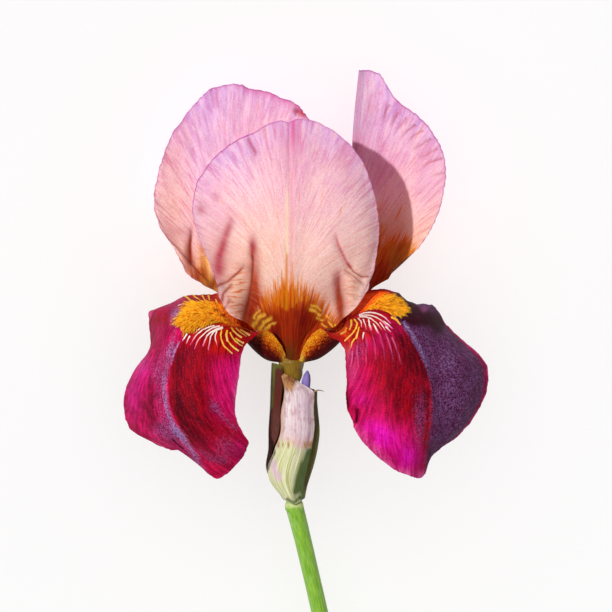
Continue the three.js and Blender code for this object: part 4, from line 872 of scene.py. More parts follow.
def crinkle(p, uv, amount, seed):
    """Fine ribs along the veins and soft unevenness between them."""
    v, r = uv["veins"][..., 0], uv["veins"][..., 1]
    p[..., 2] += amount * (waves(v * 9, r * 0.8, seed, 3) + 0.8 * waves(p[..., 0] / 16, p[..., 1] / 16, seed + 3, 3))


def fan_thickness(u, v):
    mid = 1 - np.abs(2 * u[:, None] - 1) ** 1.5
    claw = 0.35 + 0.9 * mid
    face = 0.30 + 0.25 * np.minimum(1, 4 * np.minimum(u, 1 - u)[:, None])
    t = claw + (face - claw) * ease(v / 0.3)[None, :]
    return (t * (1 - ease((v - 0.85) / 0.15))[None, :] + 0.22 * ease((v - 0.85) / 0.15)[None, :]) * 1e-3


def standard_front():
    u, v = grid(300), margined(290)
    p = fan_petal(STD_FRONT, EDGE_STD_FRONT, u, v)
    x, y = p[..., 0].copy(), p[..., 1].copy()
    dist = margin_distance(p)
    uv = fountain(x, y, 289.5 + (361 - y) * -0.005, 372, 301, 88, 0.55)
    # the pleats low on both sides, and the soft dents higher up
    fold(p, x, y, [(214, 289), (228, 282), (240, 271), (249, 257)], -3.0, 2.8, 0.1, 0.35, 1.6)
    fold(p, x, y, [(235, 282), (228, 289), (223, 294), (222, 304)], -2.0, 2.2)
    fold(p, x, y, [(232, 297), (227, 305), (223, 311)], -1.4, 1.5)
    fold(p, x, y, [(251, 240), (254, 262), (253, 285), (249, 305), (243, 322)], -4.6, 5.0, 0.25, 0.05)
    fold(p, x, y, [(238, 268), (237, 285), (236, 312)], 4.0, 8.0)
    fold(p, x, y, [(233, 212), (228, 232), (218, 258)], -2.2, 6.0, 0.3, 0.3)
    fold(p, x, y, [(246, 135), (251, 146), (257, 160)], -2.0, 2.0, 0.1, 0.4)
    fold(p, x, y, [(194, 205), (202, 209), (212, 207)], -1.8, 4.0, 0.3, 0.3)
    fold(p, x, y, [(333, 229), (338, 246), (346, 262), (356, 273), (367, 280)], -2.4, 2.6, 0.3, 0.1, -1.2)
    fold(p, x, y, [(343, 271), (354, 279), (367, 287)], -2.0, 1.6)
    fold(p, x, y, [(338, 266), (339, 285), (341, 305), (341, 324)], -4.0, 4.6, 0.3, 0.1)
    fold(p, x, y, [(350, 274), (352, 292), (347, 314)], 1.8, 6.0)
    fold(p, x, y, [(289, 126), (290, 230), (290, 300)], -0.9, 2.6, 0.05, 0.3)
    fold(p, x, y, [(299, 122), (298, 150), (297, 190)], -1.2, 5.0, 0.05, 0.4)
    crinkle(p, uv, 0.42, 21)
    ruffle(p, dist, u, 1.4, 34, 31, 0.45)
    ragged(p, dist, u[:, None] * 600 + 0 * x, 0.45, 33, 6.0)
    p[..., 1] += 2.6 * blob(x, y, 256, 329, 7, 5) + 3.4 * blob(x, y, 337, 325, 9, 5)
    top = np.interp(x, [236, 242, 250, 258, 266, 276, 284, 290, 297, 304, 312, 322, 334, 350], [334, 326, 312, 302, 295, 288, 284, 283, 284, 288, 296, 305, 314, 326])
    a = dict(
        base=np.clip(0.42 + (y - top) / 46, 0, 1) * ease(y, 262, 284),
        warm=np.clip(0.75 * ease(y, 175, 285) + 0.35 * blob(x, y, 262, 235, 30, 60), 0, 1) * (1 - 0.45 * bell(dist, 22)),
        # pale: painted light on the lower middle and the right side, which turn away from the lamp
        pale_and_painted_light=np.clip(0.95 * blob(x, y, 266, 266, 14, 30, 5) + 0.3 * blob(x, y, 268, 190, 16, 50) + 0.85 * blob(x, y, 312, 262, 18, 34) + 0.3 * blob(x, y, 240, 205, 16, 30) + 0.9 * blob(x, y, 354, 240, 22, 50) + 0.5 * blob(x, y, 276, 276, 12, 14) + 0.6 * blob(x, y, 354, 288, 12, 13) + 0.55 * blob(x, y, 320, 282, 18, 15), 0, 1),
        lilac_and_painted_light=np.clip(0.55 * bell(dist, 20) + 0.4 * ease(y, 190, 130) + 0.35 * blob(x, y, 232, 160, 20, 20) + 0.38 * blob(x, y, 248, 182, 20, 42) + 0.35 * blob(x, y, 215, 225, 14, 26), 0, 1) * 0.85,
        veined=np.clip(0.45 * bell(dist, 44) + 0.15 * blob(x, y, 350, 210, 26, 60), 0, 1),
        rose=np.clip(0.26 * bell(x - 291.3, 2.0) * ease(y, 160, 185) * ease(y, 292, 262) + 0.75 * bell(x - 293.5, 2.2) * bell(y - 128, 24) + 0.4 * bell(x - 288, 1.3) * bell(y - 135, 24) + 0.25 * bell(x - 300, 3) * bell(y - 132, 18) + 0.13 * blob(x, y, 286, 148, 30, 24), 0, 1),
        lobe=np.clip(1.1 * blob(x, y, 238, 296, 9.5, 27, 6) + 0.55 * blob(x, y, 351, 292, 7, 20) + 0.25 * blob(x, y, 320, 300, 12, 9) + 0.35 * blob(x, y, 262, 292, 6, 9), 0, 1),
        # red: dark red at the claw; the blob below the claw at (277, 334) is painted shade in the hollow there
        red=np.clip(0.85 * blob(x, y, 277, 334, 4.5, 13, -12) + 0.95 * blob(x, y, 303, 318, 6, 20, 10) + 0.9 * blob(x, y, 250, 312, 4, 12, 12) + 0.4 * blob(x, y, 322, 322, 14, 4) + 0.55 * blob(x, y, 263, 320, 12, 7, -30) + 0.5 * blob(x, y, 317, 312, 8, 7), 0, 1),
        yellow=np.clip((1.25 + 0.7 * waves(x / 2.2, y / 2.2, 311, 2)) * strokes(x + 1.5 * waves(x / 5, y / 5, 313, 3), y + 1.5 * waves(x / 5, y / 5, 317, 3), [([(254, 323.5), (258, 318.5), (264, 314.5)], 2.0, 1.7, 0.9), ([(259, 327), (264, 322), (270.5, 318)], 2.0, 1.6, 0.9), ([(266, 328), (270, 325), (275, 322)], 1.5, 1.0, 0.8), ([(253, 318), (256, 314), (261, 310)], 1.0, 0.7, 0.6),
                                            ([(310.5, 309), (315, 310.5), (319.5, 315)], 1.8, 1.5, 0.9), ([(312, 305), (317, 306), (321, 309)], 1.2, 0.9, 0.8), ([(317, 318), (322, 320)], 1.3, 0.9, 0.7), ([(322, 324), (327, 326)], 0.9, 0.8, 0.8), ([(329, 321), (334, 325)], 0.9, 0.8, 0.8), ([(336, 323), (340, 327)], 0.9, 0.7, 0.8), ([(326, 316), (331, 319)], 0.8, 0.6, 0.7)])[0], 0, 1),
        cream=np.clip(bell(x - 287.3, 1.5) * ease(y, 172, 205) * ease(y, 268, 250), 0, 1),
        gold=np.clip(strokes(x, y, [([(286.6, 308), (286.6, 254)], 2.2, 0.9, 0.8), ([(282.5, 306), (281.6, 270)], 1.3, 0.6, 0.6), ([(274.5, 300), (273.8, 279)], 1.1, 0.5, 0.5),
                                    ([(292.6, 306), (292.4, 262)], 1.2, 0.6, 0.5), ([(301.5, 300), (301.8, 284)], 1.2, 0.5, 0.5), ([(278.5, 304), (277.8, 276)], 1.0, 0.5, 0.5),
                                    ([(296.8, 302), (297.4, 274)], 1.0, 0.5, 0.5), ([(269, 302), (268, 288)], 1.0, 0.5, 0.4), ([(306.5, 300), (307.5, 288)], 1.0, 0.5, 0.4)])[0], 0, 1),
        brown=bell(x - 289.6, 6.0) * ease(y, 300, 336) * 0.75,
        olive=bell(x - 290, 6.5) * ease(y, 330, 356) * 0.8,
        # rust: orange-brown beside the pleats, standing for their shade, and along the lower margin
        rust_red_and_painted_shade=np.clip(1.0 * blob(x, y, 255.0, 287, 5.0, 26, 5) + 0.95 * blob(x, y, 250.5, 308, 5.5, 13, 12) + 0.95 * blob(x, y, 338.5, 300, 4.6, 24, -4) + 0.55 * blob(x, y, 259, 300, 5, 12) + 0.45 * blob(x, y, 248, 267, 6, 6) + 0.4 * blob(x, y, 342.5, 304, 4, 10) + 1.2 * crease(x, y, [(238, 325), (248, 329), (262, 334)], 4.0, 0.05, 0.05) + 1.2 * crease(x, y, [(322, 325), (336, 327), (347, 323)], 3.6, 0.1, 0.05) + 0.25 * blob(x, y, 222, 250, 10, 20), 0, 1),
        # mauve: soft painted shade in the dents and along the pleats
        mauve_fold_shade=np.clip(0.75 * crease(x, y, [(233.5, 212), (230, 225), (226, 236), (222, 250), (217, 264)], 4.2, 0.35, 0.3) + 0.5 * blob(x, y, 201, 210, 5, 5) + 0.3 * blob(x, y, 216, 197, 4, 5)
                      + 0.95 * blob(x, y, 219, 267, 7, 15) + 0.75 * crease(x, y, [(247, 137), (251.5, 145), (256, 153), (254, 160)], 1.5, 0.1, 0.4)
                      + 0.8 * crease(x, y, [(334, 228), (338, 244), (346, 261), (352, 269)], 1.9, 0.35, 0.05) + 0.95 * blob(x, y, 253, 248, 4.5, 13)
                      + 0.35 * blob(x, y, 338, 280, 6, 8), 0, 1),
        # crease: painted shade along the pleats pressed in above
        crease=np.clip(
            1.0 * crease(x, y, [(215, 287), (228, 281.5), (240, 271), (247, 262)], 1.55, 0.02, 0.3)
            + 0.9 * crease(x, y, [(234, 283), (228, 288.5), (223.5, 293), (222, 303)], 1.7, 0.2, 0.1)
            + 0.6 * crease(x, y, [(232, 298), (227, 305), (224, 310)], 0.9)
            + 1.0 * strokes(x, y, [([(251.5, 240), (253, 262), (252, 282), (248.5, 302), (243.5, 322)], 1.2, 3.4, 1.0)])[0] * ease(y, 238, 256)
            + 0.95 * crease(x, y, [(346, 262), (354, 272), (362, 277), (370, 276)], 0.9, 0.1, 0.1)
            + 0.6 * crease(x, y, [(342, 268), (352, 275), (366, 287)], 0.8)
            + 0.9 * strokes(x, y, [([(338.5, 266), (338.5, 284), (340, 304), (342, 326)], 1.2, 3.4, 1.0)])[0] * ease(y, 266, 292), 0, 1),
        rim=np.clip(0.9 * bell(dist, 1.3) * (0.45 + 0.55 * ease(x, 300, 240)), 0, 1))
    shell("petal_standard_front", world(p), fan_thickness(u, v), a, uv, STANDARD, "standard_front")
    return p


def standard_left():
    u, v = grid(280), margined(260)
    p = fan_petal(STD_LEFT, EDGE_STD_LEFT, u, v)
    x, y = p[..., 0].copy(), p[..., 1].copy()
    dist = margin_distance(p)
    uv = fountain(x, y, 240 - (y - 200) * 0.12, 372, 296, 82, 0.6)
    fold(p, x, y, [(193, 222), (191, 245), (191.5, 266)], -3.6, 3.2, 0.3, 0.2)
    fold(p, x, y, [(206, 262), (208, 278), (216, 292)], -1.8, 3.0)
    fold(p, x, y, [(199, 240), (200, 262), (203, 280)], 2.5, 4.0)
    fold(p, x, y, [(294, 114), (301, 112), (309, 118)], -3.0, 3.0, 0.1, 0.1)
    fold(p, x, y, [(249, 86), (246, 104), (240, 130)], -1.8, 4.5, 0.05, 0.4)
    fold(p, x, y, [(182, 118), (192, 140), (200, 170)], -1.5, 5.5, 0.1, 0.4)
    fold(p, x, y, [(156, 200), (176, 206), (196, 214)], -1.2, 5.0, 0.1, 0.4)
    crinkle(p, uv, 0.5, 41)
    ruffle(p, dist, u, 2.2, 38, 51, 0.8)
    ragged(p, dist, u[:, None] * 520 + 0 * x, 0.9, 53, 8.0)
    a = dict(
        base=np.clip(ease(y, 258, 326) * 0.95 + 0.40 * blob(x, y, 200, 270, 13, 18) + 0.35 * blob(x, y, 212, 288, 9, 10), 0, 1),
        warm=np.clip(0.5 * blob(x, y, 172, 215, 26, 50) + ease(y, 220, 275), 0, 1),
        # pale: painted light on the left, the middle and the top of the cupped petal
        pale_and_painted_light=np.clip(0.6 * blob(x, y, 210, 165, 14, 46, 12) + 0.3 * blob(x, y, 240, 110, 20, 16) + 0.95 * blob(x, y, 171, 212, 22, 36), 0, 1),
        lilac_and_painted_light=np.clip(0.95 * blob(x, y, 206, 160, 24, 60, 12) + 0.7 * ease(y, 160, 90) + 0.3 * bell(dist, 8), 0, 1),
        veined=np.clip(0.5 * blob(x, y, 168, 200, 24, 60) + 0.2, 0, 1),
        rose=np.clip(0.5 * bell(dist, 5) * ease(x, 225, 260) * ease(y, 130, 100), 0, 1),
        lobe=0.8 * blob(x, y, 203, 262, 5, 17),
        red=np.clip(0.9 * blob(x, y, 213, 284, 4, 8) + 0.6 * blob(x, y, 198, 276, 4, 5), 0, 1),
        # yellow: gold, laid more strongly low on the left as painted light where the cupped margin turns away from the
        # lamp
        yellow=np.clip(0.7 * blob(x, y, 217, 291, 3, 4, -20) + 0.45 * blob(x, y, 206, 284, 6, 8) + 0.55 * blob(x, y, 206, 262, 6, 14, -8), 0, 1),
        cream=0 * x, gold=0 * x, olive=0 * x, rust_red_and_painted_shade=np.clip(0.75 * blob(x, y, 190, 264, 6, 13) + 0.6 * blob(x, y, 200, 280, 10, 7), 0, 1),
        brown=0.75 * ease(y, 290, 330),
        mauve_fold_shade=np.clip(0.3 * blob(x, y, 178, 232, 12, 5) + 1.0 * blob(x, y, 302, 113, 9, 3.6, 22), 0, 1),
        # crease: painted shade along the folds pressed in above
        crease=np.clip(0.95 * crease(x, y, [(192, 224), (189.5, 245), (191, 268)], 2.2, 0.4, 0.15)
                       + 0.5 * blob(x, y, 186, 254, 3, 10) + 0.6 * crease(x, y, [(200, 266), (204, 278), (212, 290)], 1.8)
                       + 0.5 * blob(x, y, 197, 272, 4, 4), 0, 1),
        rim=0.6 * bell(dist, 1.2))
    shell("petal_standard_back_left", world(p), fan_thickness(u, v), a, uv, STANDARD_B, "standard_back_left")
    return p


def standard_right():
    u, v = grid(300), margined(260)
    p = fan_petal(STD_RIGHT, EDGE_STD_RIGHT, u, v)
    x, y = p[..., 0].copy(), p[..., 1].copy()
    dist = margin_distance(p)
    front = ease(u, 0.40, 0.46)[:, None] + 0 * x
    uv = fountain(x, y, 350 - (y - 200) * 0.16, 372, 300, 95, 0.75)
    uv["veins"][..., 0] = uv["veins"][..., 0] * (2 * front - 1) + (1 - front) * 3.3
    tucks = [((390, 104), (383, 124)), ((399, 112), (390, 129)), ((407, 117), (394, 135)), ((416, 124), (398, 142)), ((424, 130), (404, 146)), ((432, 138), (408, 153)), ((438, 148), (414, 161)), ((443, 158), (420, 169)), ((446, 172), (426, 179))]
    rs = np.random.RandomState(66)
    wr = np.zeros_like(x)
    for k, (a0, b0) in enumerate(tucks):
        m0 = ((a0[0] + b0[0]) / 2 + rs.uniform(-1, 1), (a0[1] + b0[1]) / 2 + rs.uniform(-2, 2))
        fold(p, x, y, [a0, m0, b0], -1.5, 1.8, 0.1, 0.5)
        wr = np.maximum(wr, crease(x, y, [a0, m0, b0], 1.0, 0.05, 0.6) * (0.5 + 0.5 * rs.rand()))
    fold(p, x, y, [(385, 78), (386, 100), (382, 122)], 2.0, 4.0)
    crinkle(p, uv, 0.5, 61)
    ruffle(p, dist, u, 2.4, 44, 71, 0.8)
    ragged(p, dist, u[:, None] * 520 + 0 * x, 0.9, 73, 8.0)
    a = dict(
        # Several terms below paint the front standard's cast shadow: base, rose and rust where x is below about 416
        # give it its reddish painted shade, and the low yellow is painted light on the dark claw inside it.
        base=np.clip(ease(y, 222, 300) + 0.30 * blob(x, y, 396, 254, 18, 18) + 0.22 * ease(y, 190, 232) * ease(x, 416, 400), 0, 1),
        warm=np.clip(ease(y, 176, 250), 0, 1),
        # pale: painted light on the right and at the top left
        pale_and_painted_light=np.clip(0.2 * blob(x, y, 420, 165, 22, 50) + 0.5 * blob(x, y, 368, 100, 9, 30), 0, 1),
        lilac_and_painted_light=np.clip(0.8 * ease(y, 190, 110) + 0.34 * blob(x, y, 428, 204, 13, 38) + 0.3 * bell(dist, 10), 0, 1),
        veined=0.35 + 0 * x,
        rose=np.clip(0.30 * bell(x - 356, 3) * ease(y, 130, 80) + 0.26 * blob(x, y, 384, 178, 18, 30, -20) * ease(x, 414, 400) + 0.4 * blob(x, y, 358, 150, 6, 16), 0, 1),
        lobe=0 * x, red=0 * x, yellow=0.22 * ease(y, 236, 258) * ease(x, 384, 394), cream=0 * x, gold=0 * x, olive=0 * x, rust_red_and_painted_shade=0.5 * ease(y, 192, 236) * ease(x, 418, 396) * ease(y, 262, 244),
        brown=0.15 * ease(y, 240, 290),
        mauve_fold_shade=np.clip(0.7 * wr * front, 0, 1),
        crease=0 * x,
        rim=0.7 * bell(dist, 1.2))
    shell("petal_standard_back_right", world(p), fan_thickness(u, v), a, uv, STANDARD_B, "standard_back_right")
    return p


def strip_thickness(u, v):
    mid = 1 - np.abs(2 * v[None, :] - 1) ** 2
    claw, face = 0.35 + 0.95 * mid, 0.26 + 0.34 * mid
    t = claw + (face - claw) * ease(u / 0.25)[:, None]
    return (t * (1 - ease((u - 0.88) / 0.12))[:, None] + 0.24 * ease((u - 0.88) / 0.12)[:, None]) * 1e-3


def strip_uv(p, vv):
    """Veins of a hanging petal leave its middle one after another and bend out to the margin."""
    run = np.concatenate([np.zeros((1, p.shape[1])), np.cumsum(np.linalg.norm(np.diff(p, axis=0), axis=-1), axis=0)], 0)
    off = (2 * vv - 1)[None, :]
    return np.stack([off * 2.6 * np.exp(-0.0085 * run), run / 60.0], -1)


LEFT_WHITE = [
    ([(206, 325.3), (200.5, 328), (196, 331.8), (193, 336)], 0.8, 0.6, 0.35),
    ([(214, 326), (207, 328), (202, 330.3), (198, 334), (195, 337), (192.5, 341), (190.3, 345)], 0.9, 0.8, 0.6),
    ([(219, 326.5), (212, 328.5), (206, 332), (202, 336), (198.5, 340), (196.5, 344), (194.5, 349)], 0.9, 0.8, 0.6),
    ([(222, 327.4), (216, 329.5), (210, 333), (207, 336), (205, 340), (203, 346)], 0.8, 0.9, 0.9),
    ([(222.5, 328.5), (218, 330), (213.5, 332.5), (210.5, 336.5), (209.5, 342), (208.4, 350)], 0.9, 0.8, 0.7),
    ([(216.5, 332), (214.8, 336), (214.6, 339), (216, 342.5), (217.5, 347)], 0.9, 0.6, 0.4),
    ([(187, 334.5), (184.5, 338.5), (182.6, 341)], 1.1, 0.8, 0.6),
    ([(189.5, 336.5), (187.5, 341), (186, 345)], 0.8, 0.6, 0.4),
    ([(178, 306), (182, 304.6), (186, 304.6), (189, 305.6)], 0.4, 0.5, 0.5),
    ([(184, 309), (189, 308), (193, 306.5), (199, 305.3)], 0.5, 0.7, 0.9),
]
LEFT_YELLOW = [
    ([(221.5, 330), (220.6, 335), (221, 340), (223.5, 346), (228, 350.3), (231.5, 353.5)], 0.9, 0.9, 0.8),
    ([(226.7, 331), (226, 335), (227, 341)], 1.1, 1.2, 1.0),
    ([(227.5, 341), (230.5, 345), (234, 348.5), (237.8, 350.6)], 0.7, 1.1, 1.0),
    ([(229.8, 333), (232, 337.5), (235, 341), (239.5, 344.5), (242, 345.5)], 0.8, 0.8, 0.8),
    ([(231, 328.2), (233.5, 331.5), (237, 334.8), (241, 337.3)], 0.9, 1.1, 1.0),
    ([(235.5, 338.5), (239, 341), (243, 342.8)], 0.8, 1.0, 1.0),
    ([(235.5, 328.5), (239, 332), (243, 334.5), (246, 336.5)], 0.6, 0.8, 0.6),
    ([(240, 330.3), (245, 333), (249.5, 335.5)], 0.9, 1.1, 1.0),
    ([(241, 327.6), (247, 329.7), (253, 332.4)], 0.7, 0.8, 0.6),
    ([(184.8, 296), (189, 299.5), (193, 302.8), (197.5, 304.6)], 1.2, 1.0, 0.9),
    ([(193, 295.6), (196, 298), (200, 300.8)], 1.0, 0.8, 0.7),
    ([(202.3, 296), (204, 299), (206, 302.4)], 1.1, 0.7, 0.7),
    ([(208.5, 296), (209.6, 300.5)], 1.1, 0.7, 0.6),
    ([(215.8, 288.5), (218, 292), (219.5, 296)], 1.6, 1.4, 0.9),
    ([(215.5, 300), (216.8, 303)], 0.9, 0.9, 0.8),
]
RIGHT_WHITE = [
    ([(360, 315.2), (365, 313.2), (371, 312.9), (377, 314), (382, 316), (386, 318.8), (391, 324)], 0.9, 1.0, 0.7),
    ([(360, 316.3), (366, 315.6), (371, 316), (376, 317.6), (381, 320.5), (385, 324), (388.5, 327.5)], 0.7, 0.9, 0.8),
    ([(360.5, 317.3), (366, 317.4), (371, 319), (375.5, 322.3), (379, 326.2), (383, 331), (385, 335)], 0.8, 0.9, 0.3),
    ([(369, 320), (369.8, 325), (371.4, 330)], 0.8, 1.3, 1.0),
    ([(373.5, 324), (376.3, 329), (378.4, 333)], 0.6, 1.3, 1.0),
    ([(384, 321.5), (389, 325.3), (392.3, 329)], 0.6, 0.7, 0.8),
    ([(386, 327), (390, 331), (393, 336)], 0.6, 0.6, 0.3),
    ([(380, 323), (384, 327.5), (387, 333)], 0.6, 0.6, 0.4),
    ([(363.5, 320), (365.8, 325), (366.5, 331)], 0.8, 0.7, 0.4),
    ([(358.8, 318.8), (361.2, 322), (362, 328)], 0.9, 0.8, 0.5),
    ([(363.8, 333), (362.6, 340)], 0.8, 0.8, 0.6),
]
RIGHT_PINK = [
    ([(365, 330), (367, 344), (366, 362)], 0.9, 0.6, 0.3), ([(372, 332), (375, 346), (376, 360)], 0.8, 0.5, 0.3), ([(379.5, 334), (383, 346), (385, 360)], 0.8, 0.5, 0.3),
    ([(386, 334), (390, 346), (394, 362)], 0.7, 0.5, 0.3), ([(392, 338), (397, 350), (401, 364)], 0.6, 0.5, 0.3), ([(358, 338), (357, 352), (359, 368)], 0.8, 0.6, 0.3), ([(352.5, 352), (352, 366)], 0.8, 0.6, 0.4),
]
RIGHT_YELLOW = [
    ([(355, 320), (357.2, 323.8), (356.2, 329), (352.3, 334), (348.3, 338), (345, 341)], 0.9, 0.9, 0.8),
    ([(351.8, 321), (351.5, 326), (349.8, 330)], 1.2, 0.9, 0.9),
    ([(346.5, 328.5), (345.3, 332), (342, 334)], 1.1, 1.2, 1.0),
    ([(359.2, 328), (358.2, 333), (356.3, 338.5)], 0.8, 1.2, 0.9),
    ([(355, 339), (352.5, 343), (350.5, 349)], 0.8, 0.8, 0.4),
    ([(392, 317.8), (396.5, 320.2), (400.3, 325)], 1.4, 1.0, 0.8),
    ([(343.5, 324), (341, 328), (337, 331.5)], 0.7, 0.8, 0.8),
    ([(338, 322), (335, 326), (331, 327.5)], 0.7, 0.8, 0.8),
    ([(334, 320.5), (329, 322.5), (324, 321.5)], 0.7, 0.8, 0.7),
]


def ray_masks(x, y, white, yellow, front):
    x, y = x + 0.5 * waves(x / 6, y / 6, 301, 3), y + 0.5 * waves(x / 6, y / 6, 305, 3)
    m, t = strokes(x, y, [(pts, 0.80 * w0, 0.78 * w1, last) for pts, w0, w1, last in white])
    n, s = strokes(x, y, [(pts, 0.86 * w0, 0.84 * w1, last) for pts, w0, w1, last in yellow])
    return dict(stripe=np.maximum(m, n) * front * (1 + 0.30 * waves(x / 2.4, y / 2.4, 309, 2)), to_pink=np.clip(ease(t, 0.45, 1.0), 0, 1), to_yellow=(n > m) * 1.0 * (1 - 0.25 * s))


def fall_left():
    u, v = crowded(400, 0.30, 0.66, 2.2), grid(236)
    p = strip_petal(FALL_LEFT, EDGE_FALL_LEFT, u, v)
    x, y = p[..., 0].copy(), p[..., 1].copy()
    uv = strip_uv(p, v)
    e, a, b, c = edge_distance(p)
    r, s, t = along(x, y, [(184, 333), (180, 342), (175, 354), (171, 368), (169, 385), (170, 402), (174, 416), (181, 430), (189, 443), (200, 458), (211, 474)])
    d = r * s
    left = ease(d, -1.5, 1.5) * ease(y, 318, 330)
    front = 1 - left
    fold(p, x, y, [(182, 342), (175, 356), (170, 372), (169, 392), (172, 410), (180, 428), (190, 444)], 3.0, 4.2, 0.2, 0.2)
    fold(p, x, y, [(203, 372), (206, 396), (218, 420), (240, 440)], -4.5, 9.0, 0.3, 0.3)
    fold(p, x, y, [(224, 384), (230, 400), (246, 424)], 3.5, 7.0, 0.3, 0.3)
    fold(p, x, y, [(152, 352), (160, 366), (166, 384)], -3.0, 6.0, 0.1, 0.4)
    fold(p, x, y, [(136, 436), (156, 430), (170, 427)], -3.0, 5.0, 0.1, 0.4)
    fold(p, x, y, [(184, 450), (178, 444), (171, 437)], -5.0, 2.6, 0.05, 0.3)
    p[..., 2] += 0.35 * waves(uv[..., 0] * 9, uv[..., 1], 81, 3) + 0.5 * waves(x / 14, y / 14, 83, 3)
    p[..., 2] += 1.3 * bell(a, 9) * waves(uv[..., 1] * 6, 0 * x, 91, 3) + 1.3 * bell(b, 9) * waves(uv[..., 1] * 6 + 9, 0 * x, 92, 3)
    run = uv[..., 1] * 60
    ragged(p, b, run, 0.55, 94, 9.0)
    ragged(p, a, run, 0.6, 95, 10.0)
    ragged(p, c, 150 * v[None, :] + 0 * x, 0.7, 96, 8.0)
    w = u[:, None] + 0 * x
    z = v[None, :] + 0 * x
    rear = ease(z, 0.42, 0.25) * ease(y, 309, 304)
    fan = ray_masks(x, y, LEFT_WHITE, LEFT_YELLOW, 1.0)
    at = dict(
        magenta=np.clip(0.72 * left + 0.5 * ease(y, 322, 308) * ease(x, 190, 176) + front * (1.0 * ease(x, 200, 226) * ease(y, 346, 372) * ease(y, 436, 402) + 0.35 * ease(y, 428, 452)), 0, 1),
        hot=np.clip(0.30 * blob(x, y, 133, 392, 10, 24) + 0.30 * blob(x, y, 144, 368, 8, 12) + 0.16 * blob(x, y, 236, 378, 7, 22) + 0.15 * blob(x, y, 240, 450, 8, 12), 0, 1),
        deep=np.clip(front * (0.95 * bell(d + 8, 11) * ease(y, 338, 352) * ease(y, 462, 425) + 0.40 * blob(x, y, 200, 392, 15, 34) + 0.55 * blob(x, y, 206, 428, 18, 18)) + left * (0.75 * blob(x, y, 154, 404, 9, 26) + 0.3 * blob(x, y, 138, 404, 12, 22)) + 0.40 * blob(x, y, 158, 334, 14, 20), 0, 1),
        dusk=np.clip(left * (0.45 * bell(d - 9, 8) * ease(y, 332, 350) + 0.30 * blob(x, y, 152, 368, 10, 14)) + 0.42 * blob(x, y, 213, 404, 8, 9, -30) + 0.45 * crease(x, y, [(210, 402), (226, 420), (242, 434)], 4.5, 0.2, 0.2)
                     + 0.40 * crease(x, y, [(196, 448), (212, 460), (236, 462)], 5, 0.1, 0.3) + 0.65 * blob(x, y, 164, 431, 18, 10) + 0.45 * blob(x, y, 170, 305, 9, 7) + 0.5 * blob(x, y, 226, 446, 15, 14), 0, 1),
        velvet_shade_and_sheen=np.clip(0.25 * left * blob(x, y, 158, 352, 9, 18), 0, 1),
        deepest_shade=0 * x,
        # lilac: painted sheen, a bright line along the ridge and softer bands beside it
        lilac_and_painted_light=np.clip(left * 0.42 * bell(d - 3.5, 3.4) * ease(y, 334, 352) + 0.75 * blob(x, y, 176, 316, 6, 11, 15) + 0.42 * blob(x, y, 171, 345, 3, 16, 18) + 0.35 * crease(x, y, [(163, 366), (164, 392), (168, 414), (176, 430)], 2.0, 0.2, 0.2)
                      + 0.8 * crease(x, y, [(181, 340), (175, 352), (170.5, 368)], 0.9, 0.1, 0.3) + 0.6 * blob(x, y, 178, 432, 9, 5, 35) + 0.5 * crease(x, y, [(180, 432), (190, 445), (204, 464)], 2.6, 0.1, 0.3) + 0.35 * crease(x, y, [(159, 366), (153, 380)], 1.6)
                      + 0.12 * blob(x, y, 213, 405, 5, 8, -30), 0, 1),
        pinkish=np.clip(0.5 * blob(x, y, 150, 314, 4, 4) + 0.25 * blob(x, y, 142, 362, 7, 9) + 0.40 * blob(x, y, 145, 352, 5, 8) + 0.22 * blob(x, y, 236, 392, 4, 16) + 0.35 * bell(b, 3.0) * ease(y, 350, 362) * ease(y, 425, 400)
                        + 0.3 * blob(x, y, 157, 446, 14, 4, 12) + 0.3 * crease(x, y, [(176, 303), (180, 299), (186, 301)], 1.6), 0, 1),
        bed=np.clip(0.8 * ease(np.hypot(x - 222, (y - 326) * 1.1), 38, 24) * ease(y, 322, 327) * front + rear * ease(x, 180, 187) * ease(x, 226, 214), 0, 1) * ease(x, 184, 194),
        # glow: orange-red at the beard's inner end, brightened as painted light in the standard's shadow
        orange_and_painted_light=np.clip(1.1 * blob(x, y, 243, 324, 26, 4.5, 8) + 0.6 * blob(x, y, 221, 302, 4, 10, -15), 0, 1),
        # crease: painted shade in the fold near the tip
        crease=np.clip(0.95 * crease(x, y, [(171, 437.5), (177, 443.5), (185, 449.5)], 1.2, 0.1, 0.05), 0, 1),
        rim=np.clip(0.35 * bell(b, 1.4) * ease(y, 345, 370) + 0.35 * bell(c, 1.4) + 0.3 * bell(a, 1.4) * ease(y, 306, 330), 0, 1),
        blade=ease(w, 0.40, 0.55),
        spotted=0.72 * ease(z, 0.52, 0.98) * ease(w, 0.34, 0.24),
        olive=bell(z - 0.5, 0.03) * ease(w, 0.45, 0.3) * 0.6,
        clawglow=np.clip(0.95 * blob(x, y, 284.5, 358, 2.6, 6), 0, 1), **fan)
    shell("petal_fall_front_left", world(p), strip_thickness(u, v), at, uv, FALL, "fall_front_left")
    return p, u, v


